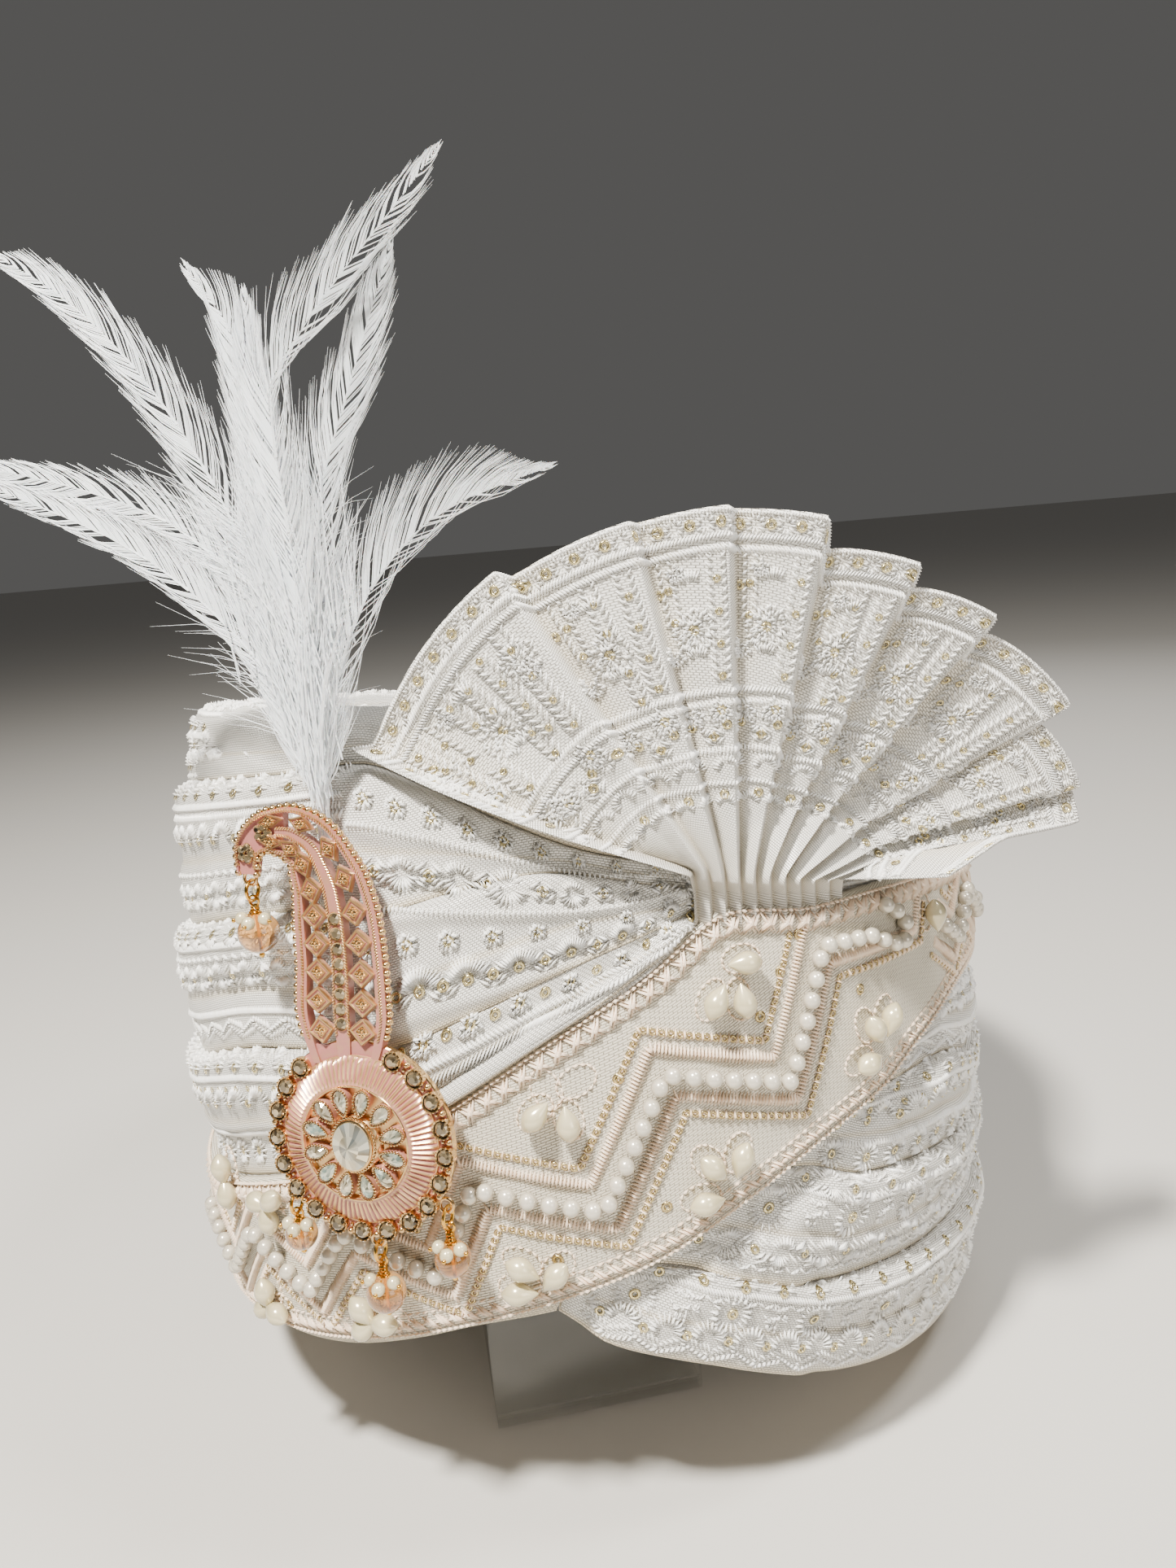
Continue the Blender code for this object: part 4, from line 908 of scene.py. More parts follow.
SHELL = spokes(11, 1.1, 5.0, 8, 172, 0.55)
BURST = spokes(14, 0.8, 4.6, 0, 360, 0.55)
SMALL_BURST = spokes(10, 0.6, 2.9, 0, 360, 0.5)
DIAMOND = lozenge(8.5, 6.5, 0.65)
SIDE_FANS = spokes(8, 0.9, 4.2, 35, 145, 0.5) + spokes(8, 0.9, 4.2, 215, 325, 0.5)
LEAF = sprig(9.0, 6, 4.0, 38, 0.6)
ROSETTE = spokes(18, 2.6, 6.6, 0, 360, 0.6)
ZIG = [(0, 0, 42, 3.8, 0.6), (0.9, 0.3, 42, 2.6, 0.5)]
ZAG = [(0, 0, -42, 3.8, 0.6), (0.9, -0.3, -42, 2.6, 0.5)]

# Lines of single stitches: pitch, turn and height
SEWN_LINES = {"rope": (0.8, 55, 1.1), "comb": (1.0, 90, 0.9)}
# Rows of motifs: pitch, each motif's turn, size, shift and height, then the sequins' size and shift
SEWN_ROWS = {
    "zigzag": (5.0, ((ZIG, 0, 1, 0, 1.0), (ZAG, 0, 1, 0.5, 1.0)), ()),
    "shells": (11.5, ((SHELL, 0, 1.2, 0, 1.6),), (2.8, 0.5)),
    "bursts": (12.0, ((BURST, 0, 1.15, 0, 1.5),), (2.6, 0)),
    "diamonds": (15.0, ((DIAMOND, 0, 1.25, 0, 1.7), (SIDE_FANS, 0, 1.15, 0.5, 1.5)), (2.4, 0)),
    "rosettes": (26.0, ((ROSETTE, 0, 1, 0, 1.4), (blossom(26, 3.6, 5), 0, 1, 0.5, 1.1)), (3.2, 0)),
    "leaves": (14.0, ((LEAF, 22, 1, 0, 1.1), (LEAF, -22, 1, 0.5, 1.1)), ()),
    "beads": (6.5, (), (2.0, 0)),
}
# What is sewn on each wrap, from its low edge up: kind and share of the way up
WRAP_SEWING = {
    1: (
        ("zigzag", 0.10), ("shells", 0.26), ("comb", 0.42), ("bursts", 0.60), ("rope", 0.76),
        ("shells", 0.90),
    ),
    2: (
        ("diamonds", 0.20), ("zigzag", 0.36), ("shells", 0.60), ("comb", 0.76), ("rope", 0.84),
        ("shells", 0.92),
    ),
    3: (
        ("leaves", 0.18), ("rope", 0.31), ("diamonds", 0.60), ("zigzag", 0.75), ("rope", 0.84),
        ("bursts", 0.93),
    ),
    4: (
        ("bursts", 0.20), ("comb", 0.35), ("shells", 0.62), ("beads", 0.74), ("rope", 0.82),
        ("shells", 0.90),
    ),
    5: (("zigzag", 0.14), ("diamonds", 0.30), ("rosettes", 0.64), ("rope", 0.80), ("diamonds", 0.90)),
    6: (
        ("leaves", 0.18), ("shells", 0.32), ("rosettes", 0.64), ("zigzag", 0.78), ("rope", 0.86),
        ("shells", 0.94),
    ),
}


def sew_row(face, kind, v):
    """Stitches and sequins of one row."""
    none = np.zeros((0, 6))
    if kind in SEWN_LINES:
        pitch, turn, height = SEWN_LINES[kind]
        return line_of(face, v, pitch, turn, 3.8, 0.6, height), none
    pitch, motifs, sequins = SEWN_ROWS[kind]
    rows = [row_of(face, motif, v, pitch, *settings) for motif, *settings in motifs]
    return np.concatenate([none, *rows]), sequins_at(face, v, pitch, *sequins) if sequins else none


def make_wraps():
    for number in range(1, 7):
        top = number == 1
        outer, net = top_net() if top else wrap_net(number)
        if top:
            net_of_top = net
        lining = np.zeros(net.shape[1], bool)
        lining[RISE_STEPS + (9 if top else 1) :] = True
        cloth = [white_satin, plain_lining]
        thing = skin(f"rolled_wrap_{number}", net, cloth, top, painted_roll_crease_shade(net, RISE_STEPS), lining)
        finish_piece(thing, "white_cloth", f"wrap_{number}")
        face = Face(outer, closed=top)
        sewing, discs = [], []
        for kind, v in WRAP_SEWING[number]:
            rows, spots = sew_row(face, kind, v)
            sewing.append(keep_room(face, rows))
            discs.append(keep_room(face, spots))
        lay(f"wrap_stitching_{number}", face, STITCH, sewing, white_floss, "white_cloth")
        if any(len(spots) for spots in discs):
            lay(f"wrap_sequins_{number}", face, SEQUIN, discs, sequin_gold, "gold_wire", SEQUIN_SINK)
    sew_top(net_of_top)


# The top's rows stop here, since the fan stands in front of it
CLEAR_OF_FAN = -0.085


def sew_top(net):
    """Rows on the rounded top of the uppermost wrap."""
    face = Face(net[:, RISE_STEPS - 2 : RISE_STEPS + 5], closed=True)
    rows = [line_of(face, v, 0.85, turn, 3.6, 0.6, 1.1) for v, turn in ((0.34, 60), (0.90, 120))]
    rows.append(row_of(face, BURST, 0.62, 14.0, height=1.4))
    rows.append(row_of(face, LEAF, 0.62, 14.0, turn=90, shift=0.5, size=0.8, height=1.1))
    rows = np.concatenate(rows)
    y = face.place(rows[:, 0], rows[:, 1], rows[:, 0] * 0)[:, 1]
    lay("top_stitching", face, STITCH, [rows[y > CLEAR_OF_FAN]], white_floss, "white_cloth")


# Cap


def cap_height(x, y):
    width, depth = HEAD_HALF_WIDTH + CAP_LEDGE, HEAD_HALF_DEPTH + CAP_LEDGE
    tilt = -CROWN_TOP_TILT_BACK * y / depth - CROWN_TOP_TILT_LEFT * x / width
    round_off = 1 - (x / width) ** 2 - (y / depth) ** 2
    return CROWN_TOP_MEAN + tilt - CAP_DROP + GAP + CAP_RISE * np.maximum(round_off, 0)


def make_cap():
    """The cap inside the crown's top: one cloth gathered into soft pleats towards its middle."""
    turns = np.linspace(0, 360, 204, endpoint=False)[:, None]
    shares = np.concatenate([np.linspace(1, 0.06, 22), [0.02, 0.002]])[None]
    edge = head_point(turns, turns * 0, CAP_LEDGE - 2 * GAP)
    x, y = edge[..., 0] * shares, edge[..., 1] * shares
    pleat = np.abs(np.sin(np.radians(turns) * 12 + 1.6 * shares)) ** 0.7
    lift = 1.5 * MM * pleat * np.sin(np.pi * np.clip(shares, 0, 1)) ** 0.6
    low = cap_height(x, y) + 0.1 * MM
    upper = np.stack([x, y, low + 1.3 * MM + lift], -1)
    under = np.stack([x, y, low], -1)[:, ::-1]
    net = np.concatenate([upper, under], 1)
    # Painted shade: the valleys between the cap's gathered pleats get up to half of the warmer, darker crease
    # colour
    tone = np.tile(0.5 * (1 - pleat[:, :1]), (1, net.shape[1]))
    thing = skin("gathered_cap", net, [white_satin], closed=True, painted_crease_shade=tone)
    finish_piece(thing, "white_cloth", "crown_cap")
    face = Face(upper, closed=True, facing=(0, 0, 1))
    rows = [row_of(face, BURST, v, 20, shift=0.5 * k, height=1.0) for k, v in enumerate((0.14, 0.4, 0.66))]
    rows.append(line_of(face, 0.05, 0.9, 60, 3.4, 0.6, 1.0))
    lay("cap_stitching", face, STITCH, rows, white_floss, "white_cloth")


# Band

BAND_OUT = BAND_LIFT + BAND_THICKNESS
UNROLL_ANGLES = np.linspace(-95, 172, 1400)
_ring = crown_point(UNROLL_ANGLES, UNROLL_ANGLES * 0 + 0.45 * CROWN_HEIGHT, BAND_OUT)
UNROLL_RUN = run_along(_ring)


class Unrolled:
    """The band's face laid flat: u is the way round to the left and v the height, both in metres."""

    def place(self, u, v, lift):
        angle = np.interp(u, UNROLL_RUN, UNROLL_ANGLES)
        return crown_point(angle, v, BAND_OUT + lift)

    def stretch(self, u, v):
        return u * 0 + 1.0, v * 0 + 1.0


def run_at(angle):
    return np.interp(angle, UNROLL_ANGLES, UNROLL_RUN)


def on_band(angle, share):
    """A place on the unrolled band from its angle and the share of its width."""
    low, high = band_edges(np.asarray(angle, float))
    return np.stack([run_at(angle), lerp(low, high, np.asarray(share, float))], -1)


def offset_line(points, by):
    """A line beside another one, with mitred corners."""
    step = np.diff(points, axis=0)
    step /= np.linalg.norm(step, axis=1, keepdims=True)
    normal = np.stack([-step[:, 1], step[:, 0]], 1)
    moved = [points[0] + normal[0] * by]
    for i in range(1, len(points) - 1):
        middle = normal[i - 1] + normal[i]
        middle /= np.linalg.norm(middle)
        moved.append(points[i] + middle * by / max(0.45, middle @ normal[i]))
    moved.append(points[-1] + normal[-1] * by)
    return np.array(moved)


def walk(points, pitch, first=0.5):
    """Evenly spaced places along a line, each with its direction in degrees."""
    run = run_along(points)
    spots = np.arange(pitch * first, run[-1], pitch)
    ease = min(1.2 * MM, pitch)
    places = (spots, np.minimum(spots + ease, run[-1]), np.maximum(spots - ease, 0))
    x, y = (np.array([np.interp(place, run, points[:, k]) for place in places]) for k in (0, 1))
    return np.stack([x[0], y[0], np.degrees(np.arctan2(y[1] - y[2], x[1] - x[2]))], 1)


def along_line(points, pitch, turn, length, width, height=0.6, first=0.5):
    """Stitches along a line on the unrolled band, turned from its direction."""
    u, v, way = walk(points, pitch * MM, first).T
    return stitches(u, v, way + turn, length, width, height)


def within_band(rows, low_room, high_room):
    angle = np.interp(rows[:, 0], UNROLL_RUN, UNROLL_ANGLES)
    low, high = band_edges(angle)
    good = (rows[:, 1] > low + low_room * MM) & (rows[:, 1] < high - high_room * MM)
    good &= (angle > BAND_ROWS[0][0] + 1) & (angle < BAND_ROWS[-1][0] - 1)
    return rows[good]


# Corners of the pearl lines and of the padded lines beside them: angle, share of the band's width
LEFT_CORNERS = (
    (-38.3, 0.83), (-32.6, 0.355), (-18.7, 0.655), (-11.4, 0.30), (2.2, 0.625), (7.0, 0.295),
    (18.7, 0.65), (25.2, 0.32), (36.0, 0.68), (43.5, 0.30), (54.0, 0.68), (61.0, 0.30), (72.0, 0.68),
    (79.0, 0.30), (90.0, 0.68), (97.5, 0.30), (109.0, 0.68), (116.5, 0.30), (128.0, 0.68),
    (135.5, 0.30), (147.0, 0.68), (154.5, 0.32), (163.0, 0.60),
)
RIGHT_CORNERS = ((-86, 0.62), (-80, 0.36), (-72, 0.72), (-65.5, 0.40), (-60.5, 0.62))
PEARL_LINES = (
    ((-47.8, 0.93), (-50.4, 0.87), (-52.2, 0.76), (-51.0, 0.66), (-45.4, 0.80), *LEFT_CORNERS),
    RIGHT_CORNERS,
)
PADDED_LINES = (((-55.5, 1.04), (-53.6, 0.80), *LEFT_CORNERS), RIGHT_CORNERS)
BAND_SEQUINS = (
    (-35.9, 0.89), (-33.0, 0.76), (-23.8, 0.20), (-17.9, 0.19), (-14.0, 0.73), (-30.0, 0.62),
    (-43.7, 0.56), (-6.0, 0.18), (8.0, 0.78), (24.0, 0.80), (31.0, 0.17),
)


# Stitches along the band's edges: share of its width, millimetres up from there, then the stitches'
# pitch, turn, length, width, height and first place
BAND_EDGING = (
    (1, -3.9, 5.2, 50, 7.8, 0.95, 1.7, 0.5),
    (1, -3.9, 5.2, 50, 7.8, 0.95, 1.7, 0.7),
    (1, -3.9, 5.2, -50, 7.8, 0.95, 2.2, 0.5),
    (1, -3.9, 5.2, -50, 7.8, 0.95, 2.2, 0.7),
    (1, -3.9, 5.2, 8, 2.2, 1.2, 2.5, 0.6),
    (1, -0.8, 1.7, 8, 2.2, 0.9, 1.4, 0.5),
    (0, 3.4, 3.9, 52, 6.0, 0.85, 1.4, 0.5),
    (0, 3.4, 3.9, 52, 6.0, 0.85, 1.4, 0.76),
    (0, 3.4, 3.9, -14, 4.6, 0.8, 1.1, 1.0),
    (0, 6.3, 2.4, -6, 2.8, 0.7, 1.0, 0.5),
    (0, 0.8, 1.7, 6, 2.2, 0.85, 1.2, 0.5),
)


def thread_petals():
    """Loops of thread round the foot of each drop pearl, and two empty petals above the second group."""
    rows = []
    bow = 2 * np.pi * np.arange(16) / 16
    side, ahead = 3.5 * np.sin(bow), 4.6 - 5.2 * np.cos(bow)
    way = np.degrees(np.arctan2(5.2 * np.sin(bow), 3.5 * np.cos(bow)))
    empty = ((-6.8, 0.573, ((6.0, 6.6, 60), (-0.5, 5.0, -20))),)
    for angle, share, drops in PEARL_CLUSTERS + empty:
        for right, rise, degrees in drops:
            sin, cos = math.sin(math.radians(degrees)), math.cos(math.radians(degrees))
            x = right + side * cos + (ahead - 4.0) * sin
            y = rise - side * sin + (ahead - 4.0) * cos
            u, v = run_at(angle) - x * MM, CROWN_HEIGHT * share + y * MM
            rows.append(stitches(u, v, 180 - way + degrees, 2.3, 0.7, 0.9))
    return np.concatenate(rows)


def make_band():
    angles = np.linspace(BAND_ROWS[0][0], BAND_ROWS[-1][0], 420)[:, None]
    low, high = band_edges(angles)
    across = np.linspace(0, 1, 16)[None]
    z = lerp(low, high, across)
    edge_round = 0.5 * MM * (1 - np.clip(np.minimum(across, 1 - across) * 30, 0, 1)) ** 2
    pull = 0.18 * MM * np.sin(np.radians(angles) * 37 + across * 6)
    outer = crown_point(angles, z, BAND_OUT - edge_round + pull * np.sin(np.pi * across))
    inner = crown_point(angles, z, -0.3 * MM + 0 * across)[:, ::-1]
    net = np.concatenate([outer, inner], 1)
    thing = skin("band_cloth", net, [blush_tissue], painted_crease_shade=np.zeros(net.shape[:2]))
    finish_piece(thing, "blush_cloth", "pearl_band")
    face = Unrolled()
    rows, discs = [], []
    for corners in PADDED_LINES:
        line = on_band(*np.array(corners).T)
        for side in (-1, 1):
            rail = offset_line(line, side * 5.3 * MM)
            rows.append(within_band(along_line(rail, 0.92, 90, 4.5, 0.74, 1.7), 3.0, 5.0))
            couch = offset_line(line, side * 9.4 * MM)
            rows.append(within_band(along_line(couch, 2.3, 90, 3.2, 0.6, 1.7, first=0.0), 4.0, 7.0))
            rows.append(within_band(along_line(couch, 2.3, 6, 2.7, 0.4, 0.8), 4.0, 7.0))
            discs.append(within_band(along_line(couch, 2.3, 25, 2.3, 1.9, 1.9), 4.0, 7.0))
    fine = np.linspace(BAND_ROWS[0][0] + 0.5, BAND_ROWS[-1][0] - 0.5, 260)
    for share, away, *sewing in BAND_EDGING:
        line = offset_line(on_band(fine, fine * 0 + share), away * MM)
        rows.append(along_line(line, *sewing))
    rows.append(thread_petals())
    sewn = lay("band_stitching", face, STITCH, rows, blush_floss, "blush_cloth")
    discs.append(stitches(*on_band(*np.array(BAND_SEQUINS).T).T, 0, 3.0, 3.0, 1.6))
    shiny = lay("band_sequins", face, SEQUIN, discs, couch_gold, "gold_wire", SEQUIN_SINK)


# Round things: modelled once, copied to their places


def model_ball(segments=14, rings=9):
    deselect()
    bpy.ops.mesh.primitive_uv_sphere_add(segments=segments, ring_count=rings, radius=1.0)
    return take_form(bpy.context.object)


def copies(name, form, places, made):
    """One mesh of a form at many places, given as 4 by 4 matrices."""
    points, faces = form
    spots = np.array([np.array(place) for place in places])
    wide = np.concatenate([points, np.ones((len(points), 1))], 1)
    placed = np.einsum("nij,kj->nki", spots, wide)[..., :3]
    return link_mesh(name, placed, repeated(faces, len(spots), len(points)), [made])


def at(spot, size=(1, 1, 1), axes=None):
    """A matrix that puts a form at a spot, with a size and an axes matrix."""
    turn = Matrix.Identity(4) if axes is None else axes.to_4x4()
    scale = Matrix.Diagonal((*(size if hasattr(size, "__len__") else (size,) * 3), 1))
    return Matrix.Translation(spot) @ turn @ scale


BALL = model_ball()
SMALL_BALL = model_ball(8, 6)
TINY_BALL = model_ball(6, 4)


def make_band_pearls():
    """Round pearls sewn along the zigzag, a single one at the band's right end."""
    lines = [on_band(*np.array(corners).T) for corners in PEARL_LINES]
    spots = np.concatenate([walk(line, 5.15 * MM) for line in lines])
    keep = within_band(np.concatenate([spots, np.zeros((len(spots), 3))], 1), 2, 2)
    face = Unrolled()
    centres = face.place(keep[:, 0], keep[:, 1], keep[:, 0] * 0 + 2.1 * MM)
    thing = copies("zigzag_pearls", BALL, [at(Vector(c), 2.22 * MM) for c in centres], pearl_white)
    finish_piece(thing, "pearl")


PEARL_LENGTH = 0.0088
PEARL_RADIUS = 0.0028
# Where each group of drop pearls is sewn: angle, share of the crown's height, then each drop's
# middle (right, up, in millimetres) and the way its round end points, clockwise from up
PEARL_CLUSTERS = (
    (-27.6, 0.680, ((1.6, 6.4, 95), (-6.6, -1.3, -147), (0.4, -2.6, 173))),
    (-6.8, 0.573, ((-3.5, 0.5, -136), (3.9, -1.9, 174))),
    (-23.6, 0.477, ((-1.5, 2.4, -40), (5.7, 2.9, 23), (-3.8, -6.1, -92))),
    (-45.6, 0.574, ((-3.2, 2.6, -25), (3.2, 3.4, 30), (-6.2, -5.2, -98))),
    (-3.5, 0.384, ((-2.5, 2.6, -60), (5.0, 0.4, 42), (-3.8, -3.7, -90))),
    (15.9, 0.307, ((-2.4, 2.6, -43), (-2.6, -2.4, -133), (3.5, 0.3, 85))),
    (30.7, 0.411, ((-3.5, 0.2, -87), (2.6, 2.4, 47), (0.4, -3.5, 173))),
    (33.9, 0.261, ((-0.6, 3.4, -10), (-2.8, -2.1, -127), (3.4, -0.9, 105))),
    (41.0, 0.403, ((-0.7, 3.4, -12), (0.7, -3.4, 168))),
    (-58.1, 0.679, ((0.0, 0.0, 0),)),
)


def model_drop_pearl():
    """A drop pearl along +Z from its point at the origin, one unit long and round."""
    deselect()
    bpy.ops.mesh.primitive_uv_sphere_add(segments=18, ring_count=14, radius=1.0)
    thing = bpy.context.object
    for v in thing.data.vertices:
        t = (v.co.z + 1) / 2
        around = math.hypot(v.co.x, v.co.y) or 1.0
        wide = math.sin(math.pi * t**1.25) ** 0.75 if 0 < t < 1 else 0.0
        v.co = Vector((v.co.x / around * wide, v.co.y / around * wide, t))
    return take_form(thing)


def make_drop_pearls():
    form = model_drop_pearl()
    length, radius = PEARL_LENGTH * 1.06, PEARL_RADIUS * 1.04
    for i, (angle, share, drops) in enumerate(PEARL_CLUSTERS):
        z = CROWN_HEIGHT * share
        out_by = BAND_OUT + radius + GAP
        centre, ahead = (Vector(crown_point(a, z, out_by)) for a in (angle, angle - 1))
        above = Vector(crown_point(angle, z + 0.001, out_by))
        across = (ahead - centre).normalized()
        up = (above - centre).normalized()
        out = across.cross(up)
        places = []
        for right, rise, degrees in drops:
            turn = math.radians(degrees)
            run = up * math.cos(turn) + across * math.sin(turn)
            axes = Matrix((out.cross(run), out, run)).transposed()
            middle = centre + across * right * MM + up * rise * MM
            back = out * (right * MM) ** 2 / (2 * CROWN_HALF_WIDTH)
            places.append(at(middle - back - run * length / 2, (radius, radius, length), axes))
        thing = copies(f"drop_pearls_{i + 1}", form, places, pearl_cream)
        finish_piece(thing, "pearl", *[f"pearl_cluster_{i + 1}"] * (i < 9))


# Fan


def fan_sheet(x, z):
    across = FAN_SWEEP * (x - FAN_FRONT_X)
    y = FAN_SET_BACK - CROWN_HALF_DEPTH + np.hypot(FAN_EASE, across) - FAN_EASE
    return y + np.maximum(0.0, z - FAN_LEAN_FROM * CROWN_HEIGHT) * FAN_LEAN


def crown_face(x, z):
    a, b = (half + ROLL_BULGE * FAN_PRESS for half in crown_axes(z))
    inside = np.abs(x) < a
    y = -b * np.sqrt(np.where(inside, 1 - (x / a) ** 2, 0))
    below = z < CROWN_TOP_MEAN + CROWN_TOP_TILT_BACK
    return np.where(inside & below, y, 1.0)


def fan_lines():
    """For each fine line of the fan: angle, share of the radius, depth of the pleat, share along the knot."""
    lines = []
    for i, (angle, fold, dip) in enumerate(FAN_FOLDS):
        after = FAN_FOLDS[i + 1] if i + 1 < len(FAN_FOLDS) else (*FAN_LAST_EDGE, 0)
        wide = angle - after[0]
        dip_at = FAN_DIP_TURN / wide
        for s in np.concatenate([np.linspace(0, 0.16, 6), np.linspace(0.22, 0.97, 14)]):
            drop = fade(s / 0.16)
            rest = max(0.0, (s - 0.16) / 0.84)
            turn = lerp(0, dip_at, s / 0.16) if s < 0.16 else lerp(dip_at, 1, rest)
            share = lerp(fold, dip, drop) if s < 0.16 else lerp(dip, after[1], rest**0.75)
            depth = 1 - drop if s < 0.16 else 0.72 * math.sin(math.pi / 2 * rest) ** 0.9 + 0.28 * rest**3
            lines.append((angle - wide * turn, share, depth, (i * 3 + s * 3) / 30, i + s))
    lines.append((*FAN_LAST_EDGE, 0.2, 1.0, 10.0))
    return np.array(lines)


def fan_nets():
    lines = fan_lines()
    left, right = (
        np.array((across * CROWN_HALF_WIDTH, up * CROWN_HEIGHT))
        for across, up in (FAN_KNOT_LEFT, FAN_KNOT_RIGHT)
    )
    centre = (left + right) / 2
    turn, share, depth, knot = np.radians(lines[:, 0]), lines[:, 1], lines[:, 2], lines[:, 3]
    base = left + (right - left) * knot[:, None]
    tip = centre + FAN_RADIUS * share[:, None] * np.stack([np.cos(turn), np.sin(turn)], 1)
    v = np.linspace(FAN_TUCK, 1, 72)
    below = np.minimum(v, 0)[None]
    up = np.maximum(v, 0)[None]
    x = lerp(base[:, :1], tip[:, :1], 1.04 * up**2 / (up + 0.04))
    z = lerp(base[:, 1:], tip[:, 1:], up) + below * FAN_RADIUS
    base_y = crown_face(base[:, 0], base[:, 1])[:, None] - FAN_CLEAR - FAN_WALL
    tip_y = fan_sheet(tip[:, 0], tip[:, 1])[:, None]
    y = lerp(base_y, tip_y, np.sqrt(np.maximum(v, 0))[None])
    y = np.minimum(y, crown_face(x, z) - FAN_CLEAR - FAN_WALL)
    open_share = smooth(FAN_ROWS, np.maximum(v, 0))[None]
    y = y - FAN_PLEAT_DEPTH * open_share * depth[:, None]
    a, b = crown_axes(z)
    behind_band = -(b + 1.8 * MM) * np.sqrt(np.maximum(0, 1 - (x / (a + 1.8 * MM)) ** 2))
    y = lerp(y, behind_band - 2.2 * MM * depth[:, None], fade(-below * 18))
    soft = 0.4 * MM * np.sin(v[None] * 19 + lines[:, 4:5] * 2.1) * fade(v[None] * 4)
    y = y + soft * (1 - depth[:, None])
    front = np.stack([x, y, z], -1)
    back = np.stack([x, y + FAN_CLOTH, z], -1)[:, ::-1]
    return front, back, lines


FLOWER = blossom(70, 5.0, 3) + spokes(12, 0.8, 3.0, 0, 360, 0.5)
SMALL_FLOWER = blossom(34, 3.0, 9) + spokes(8, 0.5, 2.2, 0, 360, 0.5)
LEAVES = spokes(7, 1.2, 5.2, 55, 125, 0.55)
# Lines of stitches across the fan: share of its height, pitch, turn, length and width
FAN_LINES = (
    (0.925, 0.8, 55, 3.8, 0.6), (0.893, 0.8, 125, 3.4, 0.6), (0.992, 0.75, 90, 1.9, 0.55),
    (0.52, 0.85, 60, 3.4, 0.6), (0.487, 0.85, 120, 3.0, 0.6), (0.36, 0.85, 90, 2.8, 0.55),
    (0.27, 0.9, 60, 2.4, 0.5),
)
# Fronds of a pleat wider than some degrees: share of its width, of the fan's height from foot to tip,
# leaf length and the way that the leaves point
FAN_FRONDS = (
    (0, 0.86, 0.56, 0.88, 4.6, 1), (0, 0.30, 0.72, 0.88, 3.6, -1), (15, 0.58, 0.745, 0.89, 4.2, 1),
    (15, 0.62, 0.54, 0.64, 3.6, 1), (25, 0.08, 0.50, 0.88, 5.0, 1), (25, 0.34, 0.54, 0.66, 4.4, 1),
    (25, 0.72, 0.60, 0.86, 4.6, 1), (25, 0.46, 0.76, 0.89, 4.6, 1), (25, 0.20, 0.60, 0.88, 4.4, 1),
)
# Motifs of a pleat wider than some degrees: share of its width and of the fan's height, turn and size
FAN_MOTIFS = (
    (0, FLOWER, 0.52, 0.69, 0, 1), (0, LEAVES, 0.52, 0.60, 0, 1), (0, LEAVES, 0.55, 0.80, 0, 1),
    (0, SMALL_FLOWER, 0.80, 0.47, 0, 1), (0, SMALL_FLOWER, 0.25, 0.46, 30, 0.9),
    (0, SMALL_FLOWER, 0.16, 0.63, 10, 0.8), (0, DIAMOND, 0.60, 0.40, 0, 0.7),
    (0, SMALL_FLOWER, 0.40, 0.845, 50, 0.7), (25, FLOWER, 0.12, 0.74, 40, 0.8),
    (25, FLOWER, 0.86, 0.78, 70, 0.8), (25, LEAVES, 0.16, 0.55, 0, 1),
    (25, SMALL_FLOWER, 0.34, 0.44, 70, 1), (25, DIAMOND, 0.20, 0.40, 0, 1),
)


